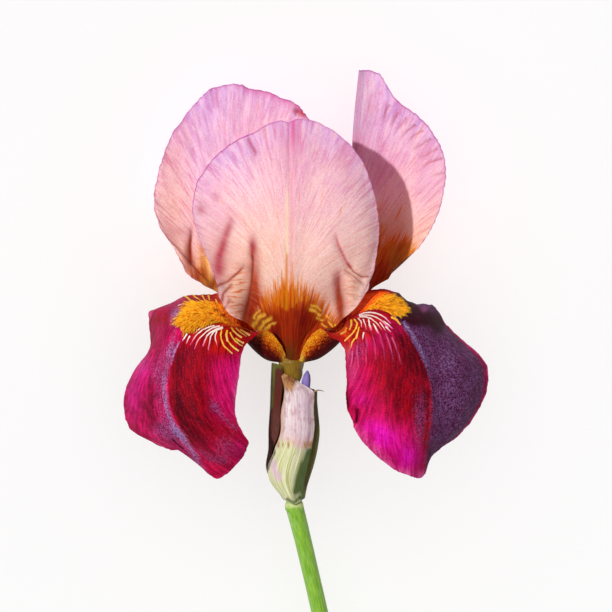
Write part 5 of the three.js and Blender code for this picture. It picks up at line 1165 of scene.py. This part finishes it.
def fall_right():
    u, v = crowded(400, 0.30, 0.66, 2.2), grid(236)
    p = strip_petal(FALL_RIGHT, EDGE_FALL_RIGHT, u, v)
    x, y = p[..., 0].copy(), p[..., 1].copy()
    uv = strip_uv(p, v)
    e, a, b, c = edge_distance(p)
    r, s, t = along(x, y, [(393, 318), (400, 324), (407, 334), (414, 346), (421, 358), (427, 372), (431, 388), (432, 405), (431, 425), (428, 445), (426, 462)])
    d = r * s
    soft = 1.2 + 9 * ease(y, 372, 420)
    right = ease(-d / soft, -1, 1) * ease(x, 388, 396)
    front = 1 - right
    fold(p, x, y, [(398, 322), (410, 338), (421, 357), (429, 376), (432, 400), (431, 430)], 2.4, 4.0, 0.2, 0.2)
    fold(p, x, y, [(347, 380), (348, 396), (350, 413)], -5.0, 2.6, 0.2, 0.2)
    fold(p, x, y, [(357, 407), (358, 416), (357, 424)], -6.0, 1.8, 0.2, 0.2)
    fold(p, x, y, [(446, 322), (446, 330), (438, 338)], -3.0, 4.0)
    fold(p, x, y, [(480, 366), (468, 380), (456, 388)], -2.0, 6.0, 0.1, 0.4)
    fold(p, x, y, [(372, 360), (376, 392), (372, 420)], -2.0, 9.0, 0.3, 0.3)
    p[..., 2] += 0.35 * waves(uv[..., 0] * 9, uv[..., 1], 101, 3) + 0.5 * waves(x / 14, y / 14, 103, 3)
    p[..., 2] += 1.6 * bell(a, 8) * waves(uv[..., 1] * 7, 0 * x, 111, 3) + 1.3 * bell(b, 9) * waves(uv[..., 1] * 6 + 9, 0 * x, 112, 3)
    run = uv[..., 1] * 60
    ragged(p, b, run, 0.5, 114, 9.0)
    ragged(p, a, run, 1.0, 115, 11.0)
    ragged(p, c, 150 * v[None, :] + 0 * x, 0.6, 116, 8.0)
    w = u[:, None] + 0 * x
    z = v[None, :] + 0 * x
    fan = ray_masks(x, y, RIGHT_WHITE, RIGHT_YELLOW, 1.0)
    band = 1.1 * bell(a, 12) * ease(y, 303, 330) * ease(y, 456, 440)
    at = dict(
        magenta=np.clip(front * (0.95 * blob(x, y, 356, 388, 15, 30) + 0.6 * blob(x, y, 376, 341, 13, 13) + 0.55 * blob(x, y, 376, 414, 16, 20) + 0.9 * ease(y, 410, 440) * ease(d, 4, 14) + 0.5 * blob(x, y, 396, 330, 10, 8)) + 0.75 * blob(x, y, 425, 308, 13, 5) + 0.6 * blob(x, y, 441, 314, 5, 9) + 0.9 * band, 0, 1),
        hot=np.clip(0.95 * blob(x, y, 384, 438, 14, 11, 25) + 0.50 * blob(x, y, 371, 427, 10, 7) + 0.85 * blob(x, y, 408, 457, 13, 12) + 0.25 * blob(x, y, 361, 400, 8, 6), 0, 1),
        deep=np.clip(front * (1.0 * bell(d - 5, 11) * ease(y, 322, 348) * ease(y, 436, 400) + 0.65 * blob(x, y, 398, 374, 14, 38) + 0.55 * blob(x, y, 427, 440, 5, 30)) + 0.45 * band, 0, 1),
        dusk=np.clip(front * (0.50 * blob(x, y, 360, 350, 9, 20, 8) + 0.65 * blob(x, y, 420, 420, 8, 34)), 0, 1),
        # purple: painted shade with painted sheen over the far half, which faces away from the lamp
        velvet_shade_and_sheen=np.clip(right * (1 - 0.92 * band) * 1.1, 0, 1.1),
        # night: near-black painted shade at the top of the far half and in hollows
        deepest_shade=np.clip(crease(x, y, [(352, 297), (366, 290.5), (384, 289), (400, 295), (410, 304), (420, 316)], 4.0, 0.1, 0.1) + 1.2 * blob(x, y, 418, 319, 22, 8) + 0.6 * blob(x, y, 438, 326, 7, 9) + 0.5 * blob(x, y, 429, 452, 4, 18) + 0.3 * blob(x, y, 434, 340, 10, 12) + 0.4 * blob(x, y, 458, 342, 12, 4, 40), 0, 1),
        # lilac: painted sheen along the ridge and over the far half
        lilac_and_painted_light=np.clip(0.80 * crease(x, y, [(402.5, 321), (410.5, 333), (419, 348), (427, 366), (431.5, 384)], 2.4, 0.03, 0.6) + right * (0.30 * blob(x, y, 446, 360, 15, 20) + 0.24 * blob(x, y, 452, 402, 18, 30)), 0, 1),
        pinkish=np.clip(0.75 * bell(np.minimum(b, c), 7) * ease(y, 420, 436) * ease(x, 432, 424) + 0.35 * blob(x, y, 349, 352, 3.5, 12) + 0.85 * strokes(x, y, RIGHT_PINK)[0] + 0.3 * blob(x, y, 352, 372, 5, 12) + 0.3 * blob(x, y, 368, 322, 8, 8) + 0.35 * blob(x, y, 424, 310, 3, 2.5), 0, 1),
        bed=np.clip(0.8 * ease(np.hypot(x - 352, (y - 316) * 1.2), 40, 26) * ease(y, 312, 316) * front * ease(x, 392, 384) + 0.9 * ease(z, 0.36, 0.28) * ease(w, 0.20, 0.25) * ease(w, 0.50, 0.44), 0, 1),
        # glow: orange-red under the standard, brightened as painted light in the hollow it shades
        orange_and_painted_light=np.clip(0.5 * blob(x, y, 347.5, 346, 2.5, 6) + 1.1 * blob(x, y, 336, 326, 14, 6, 25) + 0.75 * ease(z, 0.36, 0.26) * ease(z, 0.04, 0.12) * ease(w, 0.20, 0.25) * ease(w, 0.46, 0.40), 0, 1),
        # crease: painted shade in the folds near the front margin
        crease=np.clip(0.6 * crease(x, y, [(346.5, 378), (346.5, 396), (349, 412)], 2.0, 0.2, 0.2) + 0.9 * crease(x, y, [(359, 408), (357, 415), (356, 422)], 1.0, 0.1, 0.05) + 0.6 * crease(x, y, [(358, 422.6), (352.5, 422.4)], 0.8), 0, 1),
        rim=np.clip(0.9 * bell(a, 3.2) * ease(y, 303, 330) * ease(y, 452, 436) + 0.4 * bell(c, 2.0), 0, 1),
        blade=ease(w, 0.40, 0.55),
        spotted=0.72 * ease(z, 0.52, 0.98) * ease(w, 0.34, 0.24),
        olive=bell(z - 0.5, 0.03) * ease(w, 0.45, 0.3) * 0.6,
        clawglow=np.clip(0.95 * blob(x, y, 301.8, 358, 2.6, 6), 0, 1), **fan)
    shell("petal_fall_front_right", world(p), strip_thickness(u, v), at, uv, FALL, "fall_front_right", inner=-1)
    return p, u, v


def fall_back():
    u, v = grid(240), grid(160)
    p = surface(FALL_BACK, u, v)
    x, y = p[..., 0].copy(), p[..., 1].copy()
    uv = strip_uv(p, v)
    e, a, b, c = edge_distance(p)
    # the margins lift off the surface in small waves
    p[..., 2] += 1.6 * bell(e, 10) * (0.35 + 0.65 * waves(uv[..., 1] * 6, 2 * v[None, :] + 0 * x, 121, 3)) * ease(u[:, None], 0.4, 0.6)
    mid = np.abs(2 * v - 1)[None, :] + 0 * x
    run = uv[..., 1] * 60
    fan = np.abs(np.sin(np.pi * (uv[..., 0] * 5.2 + 0.6 * waves(uv[..., 0] * 4, uv[..., 1], 123)))) ** 3
    n = np.array([0.0, 0.6, 1.0])
    w = world(p)
    flip = 1 if normals(w)[len(u) // 3, len(v) // 2] @ n > 0 else -1
    zero = 0 * x
    at = dict(
        magenta=ease(mid, 0.45, 0.95) * 0.9, hot=0.4 * ease(mid, 0.7, 1) * ease(run, 150, 200), deep=0.8 * bell(mid, 0.35), dusk=zero, velvet_shade_and_sheen=0.25 * bell(mid, 0.5) * ease(run, 150, 180),
        deepest_shade=zero, lilac_and_painted_light=0.35 * bell(mid, 0.25) * ease(run, 130, 170), pinkish=0.3 * bell(e, 6), bed=ease(run, 55, 75) * ease(run, 135, 110) * 0.9,
        stripe=fan * ease(run, 60, 75) * ease(run, 128, 104) * ease(mid, 0.12, 0.25), to_yellow=ease(mid, 0.5, 0.8), to_pink=ease(run, 90, 125),
        orange_and_painted_light=ease(run, 70, 40) * 0.8, crease=zero, rim=0.5 * bell(e, 2.5), blade=ease(run, 90, 140), spotted=ease(run, 70, 40) * ease(mid, 0.1, 0.4),
        olive=bell(v[None, :] - 0.5 + zero, 0.03) * ease(run, 150, 90), clawglow=zero)
    shell("petal_fall_back", w, strip_thickness(u, v), at, uv, FALL, "fall_back", inner=flip)
    return p, u, v


# ---------------------------------------------------------------- beards
def pick(field, u, v, uu, vv):
    """Reads a grid field between its points."""
    i, j = np.interp(uu, u, np.arange(len(u))), np.interp(vv, v, np.arange(len(v)))
    i0, j0 = np.minimum(i.astype(int), len(u) - 2), np.minimum(j.astype(int), len(v) - 2)
    f, g = (i - i0)[..., None], (j - j0)[..., None]
    return (field[i0, j0] * (1 - f) + field[i0 + 1, j0] * f) * (1 - g) + (field[i0, j0 + 1] * (1 - f) + field[i0 + 1, j0 + 1] * f) * g


BEARD_LEFT = [[.205, .34, .50], [.25, .34, .60], [.29, .33, .635], [.33, .31, .645], [.37, .315, .66], [.41, .355, .66], [.45, .40, .645], [.49, .445, .635], [.53, .49, .615], [.562, .52, .575]]
BEARD_RIGHT = [[.215, .38, .46], [.27, .20, .41], [.32, .13, .41], [.38, .15, .43], [.42, .225, .46], [.46, .28, .49], [.49, .32, .505], [.52, .36, .50], [.54, .40, .46]]
EDGE_OF_YELLOW = [[.31, .60], [.335, .45], [.352, .38], [.372, .33], [.395, .30], [.42, .27], [.45, .235], [.49, .2]]
BEARD_BACK = [[.30, .45, .55], [.36, .38, .62], [.42, .34, .66], [.48, .33, .67], [.54, .36, .64], [.62, .45, .55]]


def beard(name, p, u, v, table, count, seed, node, up, length, mound, red):
    """A low cushion along the middle of a hanging petal, covered with hairs that lie outwards."""
    rng = np.random.RandomState(seed)
    table = np.array(table)
    w = world(p)
    nn = normals(w)
    if nn[np.abs(u - 0.4).argmin(), len(v) // 2] @ up < 0:
        nn = -nn
    fw, lt = np.gradient(w, axis=0), np.gradient(w, axis=1)
    fw /= np.linalg.norm(fw, axis=-1, keepdims=True)
    lt /= np.linalg.norm(lt, axis=-1, keepdims=True)
    def spot(s, q):
        uu = table[0, 0] + (table[-1, 0] - table[0, 0]) * s
        lo, hi = np.interp(uu, table[:, 0], table[:, 1]), np.interp(uu, table[:, 0], table[:, 2])
        return uu, (lo + hi) / 2 + (hi - lo) / 2 * q
    def rise(s, q):
        uu = spot(s, q)[0]
        return mound * np.sqrt(np.maximum(0, 1 - q * q)) * np.sin(np.pi * np.clip(0.06 + 0.88 * s, 0, 1)) ** 0.6 * ease(uu, 0.25, 0.41)
    # the cushion
    na, nb = int(70 * FINE), int(26 * FINE)
    s, q = np.meshgrid(np.linspace(0, 1, na + 1), np.linspace(-0.94, 0.94, nb + 1), indexing="ij")
    uu, vv = spot(s, q)
    base, n0 = pick(w, u, v, uu, vv), pick(nn, u, v, uu, vv)
    lump = 1 + 0.25 * waves(s * 14, q * 4, seed + 5, 3)
    hi, lo = base + n0 * (0.25e-3 + 0.8 * rise(s, q) * lump)[..., None], base + n0 * 0.12e-3
    cv = np.concatenate([hi.reshape(-1, 3), lo.reshape(-1, 3)])
    idx = np.arange((na + 1) * (nb + 1)).reshape(na + 1, nb + 1)
    o = idx.size
    A, B, C, D = idx[:-1, :-1].ravel(), idx[1:, :-1].ravel(), idx[1:, 1:].ravel(), idx[:-1, 1:].ravel()
    ring = np.concatenate([idx[:, 0], idx[-1, 1:], idx[-2::-1, -1], idx[0, -2:0:-1]])
    nxt = np.roll(ring, -1)
    cq = np.concatenate([np.stack([A, B, C, D], 1), np.stack([A + o, D + o, C + o, B + o], 1), np.stack([ring, ring + o, nxt + o, nxt], 1)])
    t = cv[cq]
    if np.einsum("ij,ij->", t[:, 0], np.cross(t[:, 1], t[:, 2])) + np.einsum("ij,ij->", t[:, 0], np.cross(t[:, 2], t[:, 3])) < 0:
        cq = cq[:, ::-1]
    # the hairs
    count = int(count * FINE)
    s, q = rng.rand(count), rng.uniform(-1, 1, count)
    uu, vv = spot(s, q)
    n1, f1, l1 = pick(nn, u, v, uu, vv), pick(fw, u, v, uu, vv), pick(lt, u, v, uu, vv)
    root = pick(w, u, v, uu, vv) + n1 * (0.05e-3 + rise(s, q) * 0.75)[:, None]
    tuft = waves(s * 22, q * 7, seed + 7, 2)
    inner = red(uu, vv, rng.normal(size=count))
    dirs = n1 * (0.34 + 0.18 * tuft)[:, None] + f1 * (0.85 + 0.3 * s)[:, None] + l1 * (0.55 * q + 0.42 * waves(s * 26, q * 10, seed + 8, 2))[:, None] + rng.normal(size=(count, 3)) * 0.13
    dirs /= np.linalg.norm(dirs, axis=1, keepdims=True)
    ln = length * (0.45 + 0.55 * ease(uu, 0.24, 0.48)) * (0.55 + 0.55 * rng.rand(count) + 0.35 * ease(tuft, -0.2, 0.5)) * (1 - 0.45 * inner) * (1 + 0.25 * np.abs(q) ** 3)
    rad = 0.175e-3 * (0.75 + 0.5 * rng.rand(count))
    side = np.cross(dirs, rng.normal(size=(count, 3)))
    side /= np.linalg.norm(side, axis=1, keepdims=True)
    other = np.cross(dirs, side)
    bend = rng.normal(size=(count, 1)) * 0.12
    rings = 4
    verts, height = [], []
    for k in range(rings + 1):
        tt = k / rings
        c = root + dirs * (ln * tt)[:, None] + (side * bend - n1 * 0.18) * (ln[:, None]) * tt * tt
        r = rad * (1 - 0.80 * tt ** 1.5)
        for m in range(4):
            w3 = 2 * math.pi * m / 4
            verts.append(c + (side * math.cos(w3) + other * math.sin(w3)) * r[:, None])
            height.append(np.full(count, tt))
    verts, height = np.stack(verts, 1), np.stack(height, 1)
    m = 4 * (rings + 1)
    first = (np.arange(count) * m)[:, None]
    quads = np.concatenate([first + np.array([[4 * k + i, 4 * k + (i + 1) % 4, 4 * k + (i + 1) % 4 + 4, 4 * k + i + 4]]) for k in range(rings) for i in range(4)]
                           + [first + np.array([[3, 2, 1, 0]]), first + np.array([[m - 4, m - 3, m - 2, m - 1]])])
    hv = verts.reshape(-1, 3)
    su, sv = spot(*[k.ravel() for k in np.meshgrid(np.linspace(0, 1, na + 1), np.linspace(-0.94, 0.94, nb + 1), indexing="ij")])
    mr = red(su, sv, 0 * su)
    at = dict(height=np.concatenate([height.ravel(), np.full(2 * o, 0.10)]), shade=np.concatenate([np.repeat(rng.rand(count), m), np.full(2 * o, 0.15)]),
              inner_end=np.concatenate([np.repeat(inner, m), mr, mr]))
    place(name, make_mesh(name, np.concatenate([hv, cv]), np.concatenate([quads, cq + len(hv)]), at), HAIR, node)


# ---------------------------------------------------------------- inner parts and neck
def style_arm(name, net, node):
    u, v = grid(70), grid(30)
    p = surface(net, u, v)
    x, y = p[..., 0], p[..., 1]
    uu, vv = u[:, None] + 0 * x, v[None, :] + 0 * x
    p[..., 2] += 0.5 * waves(uu * 9, vv * 3, 131) * ease(uu, 0.5, 1)
    at = dict(tip=ease(uu, 0.72, 0.95) * 0.8)
    t = (0.35 + 0.35 * (1 - np.abs(2 * v - 1)))[None, :] * 1e-3 + 0 * uu
    shell(name, world(p), t, at, np.stack([vv * 2, uu * 3], -1), STYLE_MAT, node)


def cap(v):
    """Closes both ends of a tube's grid with a centre point."""
    rows, sides = v.shape[:2]
    verts = np.concatenate([v.reshape(-1, 3), [v[0].mean(0)], [v[-1].mean(0)]])
    a, b = rows * sides, rows * sides + 1
    k = np.arange(sides)
    tris = np.concatenate([np.stack([np.full(sides, a), np.roll(k, -1), k], 1), np.stack([np.full(sides, b), (rows - 1) * sides + k, (rows - 1) * sides + np.roll(k, -1)], 1)])
    return verts, tris


def stamen(name, path, node):
    pts = world(np.array([q[:3] for q in path], float))
    rad = np.array([q[3] for q in path]) * UNIT
    # a thin filament, then the long narrow anther
    v, q = tube(pts, [rad[0], rad[1] * 0.85, rad[2] * 0.8, rad[3] * 0.9, rad[4] * 0.35], 14, 40, squash=0.75)
    n = len(v)
    verts, tris = cap(v)
    t = np.concatenate([np.repeat(np.linspace(0, 1, n), v.shape[1]), [0, 1]])
    place(name, make_mesh(name, verts, q, dict(tip=ease(t, 0.55, 0.66)), np.stack([t * 3, t], 1), tris), STAMEN_MAT, node)


def round_piece(name, path, sides, rings, material, node, attrs, rib=0.0, seed=5, repeat=6.0):
    """A solid round piece with soft ribs along it. attrs(t, w, verts) gives its masks."""
    pts = world(np.array([q[:3] for q in path], float))
    v, q = tube(pts, [q2[3] * UNIT for q2 in path], sides, rings)
    t = np.linspace(0, 1, rings + 1)[:, None] + np.zeros((1, sides))
    w = np.arange(sides)[None, :] / sides + 0 * t
    centre = v.mean(1, keepdims=True)
    if rib:
        v = centre + (v - centre) * (1 + rib * waves(np.abs(w - 0.5) * 18, t * 3, seed, 2))[..., None]
    verts, tris = cap(v)
    tt, ww = np.concatenate([t.ravel(), [0, 1]]), np.concatenate([w.ravel(), [0, 0]])
    uv = np.stack([np.abs(ww - 0.5) * 2 * 1.6, tt * repeat], 1)
    return place(name, make_mesh(name, verts, q, attrs(tt, ww, verts), uv, tris), material, node)


def valve_piece(name, net, material, node, masks, seed, wrinkle):
    u, v = grid(170), grid(110)
    p = surface(net, u, v)
    x, y = p[..., 0].copy(), p[..., 1].copy()
    uu, vv = u[:, None] + 0 * x, v[None, :] + 0 * x
    p[..., 2] += wrinkle * (waves(vv * 8, uu * 2.5, seed, 3) + 0.5 * waves(vv * 10, uu * 14, seed + 2, 2)) * ease(uu, 0.02, 0.2)
    p[..., 0] += 0.7 * wrinkle * waves(uu * 9, vv * 0 + 0.3, seed + 5, 3) * np.abs(2 * vv - 1) ** 3
    p[..., 1] += 1.2 * wrinkle * waves(vv * 6, uu * 0 + 0.7, seed + 6, 3) * ease(uu, 0.93, 1.0)
    shell(name, world(p), (0.18 + 0.16 * (1 - np.abs(2 * v - 1)))[None, :] * 1e-3 + 0 * uu, masks(x, y, uu, vv), np.stack([vv * 1.6, uu * 2.0], -1), material, node)


STYLE_MAT = plain_petal_material("style_arm_skin", lin(246, 206, 176), lin(236, 170, 150), lin(232, 150, 190))
STAMEN_MAT = plain_petal_material("stamen_skin", lin(238, 226, 196), lin(226, 206, 160), lin(240, 232, 200))
BUD_MAT = plain_petal_material("bud_skin", lin(120, 98, 176), lin(168, 148, 214), lin(70, 44, 110))

PF = standard_front()
PL = standard_left()
PR = standard_right()
QL, UL, VL = fall_left()
QR, UR, VR = fall_right()
QB, UB, VB = fall_back()
beard("beard_hairs_front_left", QL, UL, VL, BEARD_LEFT, 4200, 201, "beard_front_left", np.array([-0.2, 1, 0.3]), 3.6e-3, 1.6e-3, lambda a, b, r: 0.92 * ease(a + 0.025 * r, 0.43, 0.24))
beard("beard_hairs_front_right", QR, UR, VR, BEARD_RIGHT, 3800, 211, "beard_front_right", np.array([0.2, 1, 0.3]), 3.2e-3, 1.6e-3, lambda a, b, r: ease(b + 0.02 * r - np.interp(a, *np.array(EDGE_OF_YELLOW).T), 0.08, -0.06))
beard("beard_hairs_back", QB, UB, VB, BEARD_BACK, 2400, 221, "beard_back", np.array([0, 0.6, 1.0]), 2.6e-3, 1.3e-3, lambda a, b, r: ease(a + 0.02 * r, 0.42, 0.34))
for nm, net in (("left", STYLE_LEFT), ("right", STYLE_RIGHT), ("back", STYLE_BACK)):
    style_arm("style_%s" % nm, net, "style_arm_%s" % nm)
for nm, path in (("left", STAMEN_LEFT), ("right", STAMEN_RIGHT), ("back", STAMEN_BACK)):
    stamen("anther_%s" % nm, path, "stamen_%s" % nm)


def stem_masks(t, w, v):
    x = (v[:, 0] - SHIFT[0]) / UNIT + CX
    y = CY - (v[:, 1] - SHIFT[1]) / UNIT
    return dict(bloom=0.55 * blob(x, y, 287, 512, 7, 14), pale_and_painted_light=0.8 * bell(y - 505, 2.2), cut=ease(t, 0.9985, 1.0), olive=0 * t)


round_piece("flower_stem", STEM, 64, 260, STEM_MAT, "stem", stem_masks, 0.035, 7, 14.0)
round_piece("tube_and_ovary", [[292, 359.0, 0, 12.0], [291.6, 362.5, 0, 13.4], [292, 366.5, 0, 11.8], [292.4, 370.5, -0.5, 10.4]] + OVARY[3:], 48, 90, STEM_MAT, "ovary_and_tube",
            lambda t, w, v: dict(bloom=0 * t, pale_and_painted_light=0 * t, cut=0 * t, olive=ease(t, 0.55, 0.35)), 0.02, 9, 4.0)
round_piece("bud_tip", BUD, 32, 60, BUD_MAT, "side_bud", lambda t, w, v: dict(tip=0.8 * ease((v[:, 0] - SHIFT[0]) / UNIT + CX, 307.5, 310.5)), 0.06, 11, 3.0)
valve_piece("bract_front", SPATHE_FRONT, PAPER, "spathe_front", lambda x, y, u, v: dict(
    # deepgreen: painted shade, dark green, down the right side and in the folds at the base
    green=0.95 * ease(y + 9 * waves(x / 3.2, y / 30, 77, 3), 434, 452), green_shade=np.clip(1.0 * ease(y, 440, 462) * ease(v, 0.70, 0.96) + 0.9 * crease(x, y, [(311, 446), (306, 466), (298, 486), (294, 496)], 3.2, 0.1, 0.1) + 0.9 * crease(x, y, [(286, 498), (294, 503), (301, 496)], 1.8, 0.05, 0.05) + 0.5 * crease(x, y, [(294, 503), (296, 480), (303, 458)], 2.5), 0, 1),
    lilac_and_painted_light=0.7 * crease(x, y, [(273, 456), (274, 468), (282, 484)], 3.6, 0.25, 0.25) + 0.25 * blob(x, y, 304, 440, 8, 16) + 0.3 * blob(x, y, 304, 404, 7, 16), peach=np.clip(0.9 * ease(v, 0.24, 0.0) * ease(y, 446, 424) + 0.55 * bell(y - 444, 7), 0, 1),
    dry=np.clip(1.0 * ease(y + 5 * waves(x / 2.5, y / 30, 83, 2), 402, 382) * ease(x, 302, 291) + 0.35 * ease(y, 384, 376) + 0.5 * ease(v, 0.07, 0.0) * ease(y, 446, 430) + 0.75 * bell(y - 445, 6) * np.clip(0.35 + 1.4 * waves(x / 2.6, y / 40, 79, 2), 0, 1), 0, 1)), 141, 1.0)
ROLLED = [r[:5] + [[r[5][0] - d, r[5][1], r[5][2] + 2.0]] for r, d in zip(SPATHE_BACK, (1.0, 3.4, 4.6, 4.6, 4.6, 4.4, 3.6, 2.6))]
valve_piece("bract_back", ROLLED, VALVE, "spathe_back", lambda x, y, u, v: dict(
    maroon=np.clip(0.95 * ease(v, 0.155 + 0.3 * ease(y, 406, 424), 0.085 + 0.2 * ease(y, 406, 424)) * ease(y, 362, 374) * ease(y, 474, 456), 0, 1), pale_and_painted_light=0.4 * ease(y, 484, 499)), 151, 0.6)

wp = world(np.array([[311.0, 394.0, -2.0], [314.0, 391.6, 0.5], [318.0, 390.2, 2.0], [321.5, 390.6, 2.6], [324.2, 391.6, 2.2]]))
wv, wq = tube(wp, [1.5 * UNIT, 1.3 * UNIT, 1.0 * UNIT, 0.7 * UNIT, 0.25 * UNIT], 12, 30, squash=0.3)
wv, wt = cap(wv)
wk = np.concatenate([np.repeat(np.linspace(0, 1, 31), 12), [0, 1]])
place("bract_tip", make_mesh("bract_tip", wv, wq, dict(dry=0.35 + 0.5 * wk, green=0 * wk, lilac_and_painted_light=0 * wk, green_shade=0 * wk, peach=0 * wk + 0.5), np.stack([wk * 2, wk], 1), wt), PAPER, "spathe_back")

# ---------------------------------------------------------------- floor, light, camera
mid = world(np.array([306.0, 306.0, 0.0]))
flower = bpy.data.collections.new("flower_pieces")
for ob in list(bpy.context.scene.objects):
    if ob.type == "MESH":
        flower.objects.link(ob)

g = Graph("pale_floor")
n1 = g.noise(g.where(), 3.0, 2.0)
g.surface(g.mix(n1, (0.90, 0.90, 0.90, 1), (0.93, 0.93, 0.93, 1)), 0.85, specular=0.1)
fv = np.array([[-3, -3, 0], [3, -3, 0], [3, 3, 0], [-3, 3, 0]], float)
floor_me = make_mesh("floor", fv, [[0, 1, 2, 3]])
floor = bpy.data.objects.new("floor", floor_me)
floor_me.materials.append(g.mat)
bpy.context.scene.collection.objects.link(floor)
ground = bpy.data.collections.new("ground")
ground.objects.link(floor)

cam_data = bpy.data.cameras.new("camera")
cam_data.sensor_width = 36.0
cam_data.lens = 18.0 / (306.0 / EYE)
cam_data.clip_start = 0.01
cam_data.clip_end = 20.0
cam = bpy.data.objects.new("camera", cam_data)
cam.location = Vector((SHIFT[0], SHIFT[1], (EYE + AXIS_HEIGHT) * UNIT + SHIFT[2]))
cam.rotation_euler = (0.0, 0.0, 0.0)
bpy.context.scene.collection.objects.link(cam)
bpy.context.scene.camera = cam

world_data = bpy.data.worlds.new("studio")
bpy.context.scene.world = world_data
world_data.use_nodes = True
bg = world_data.node_tree.nodes["Background"]
bg.inputs[0].default_value = (1.0, 0.98, 0.98, 1)
bg.inputs[1].default_value = 0.335


def lamp(name, travel, distance, size, watts, color=(1, 1, 1), lights=None, blocks=None):
    d = bpy.data.lights.new(name, "AREA")
    d.shape = "DISK"
    d.size = size
    d.energy = watts
    d.color = color
    o = bpy.data.objects.new(name, d)
    t = Vector(travel).normalized()
    o.location = Vector((float(mid[0]), float(mid[1]), 0.05)) - t * distance
    o.rotation_euler = (-t).to_track_quat("Z", "Y").to_euler()
    bpy.context.scene.collection.objects.link(o)
    if lights is not None:
        o.light_linking.receiver_collection = lights
    if blocks is not None:
        o.light_linking.blocker_collection = blocks
    return o


# the key lamp falls on the flower, and a wide even lamp on the floor
lamp("key", (0.355, -0.160, -0.921), 1.3, 0.035, 17.5, (0.985, 0.985, 0.975), lights=flower)
lamp("floor_wash", (0, 0, -1), 2.5, 3.5, 70.0, lights=ground, blocks=ground)

bpy.context.scene.view_settings.view_transform = "Standard"
bpy.context.scene.view_settings.look = "None"
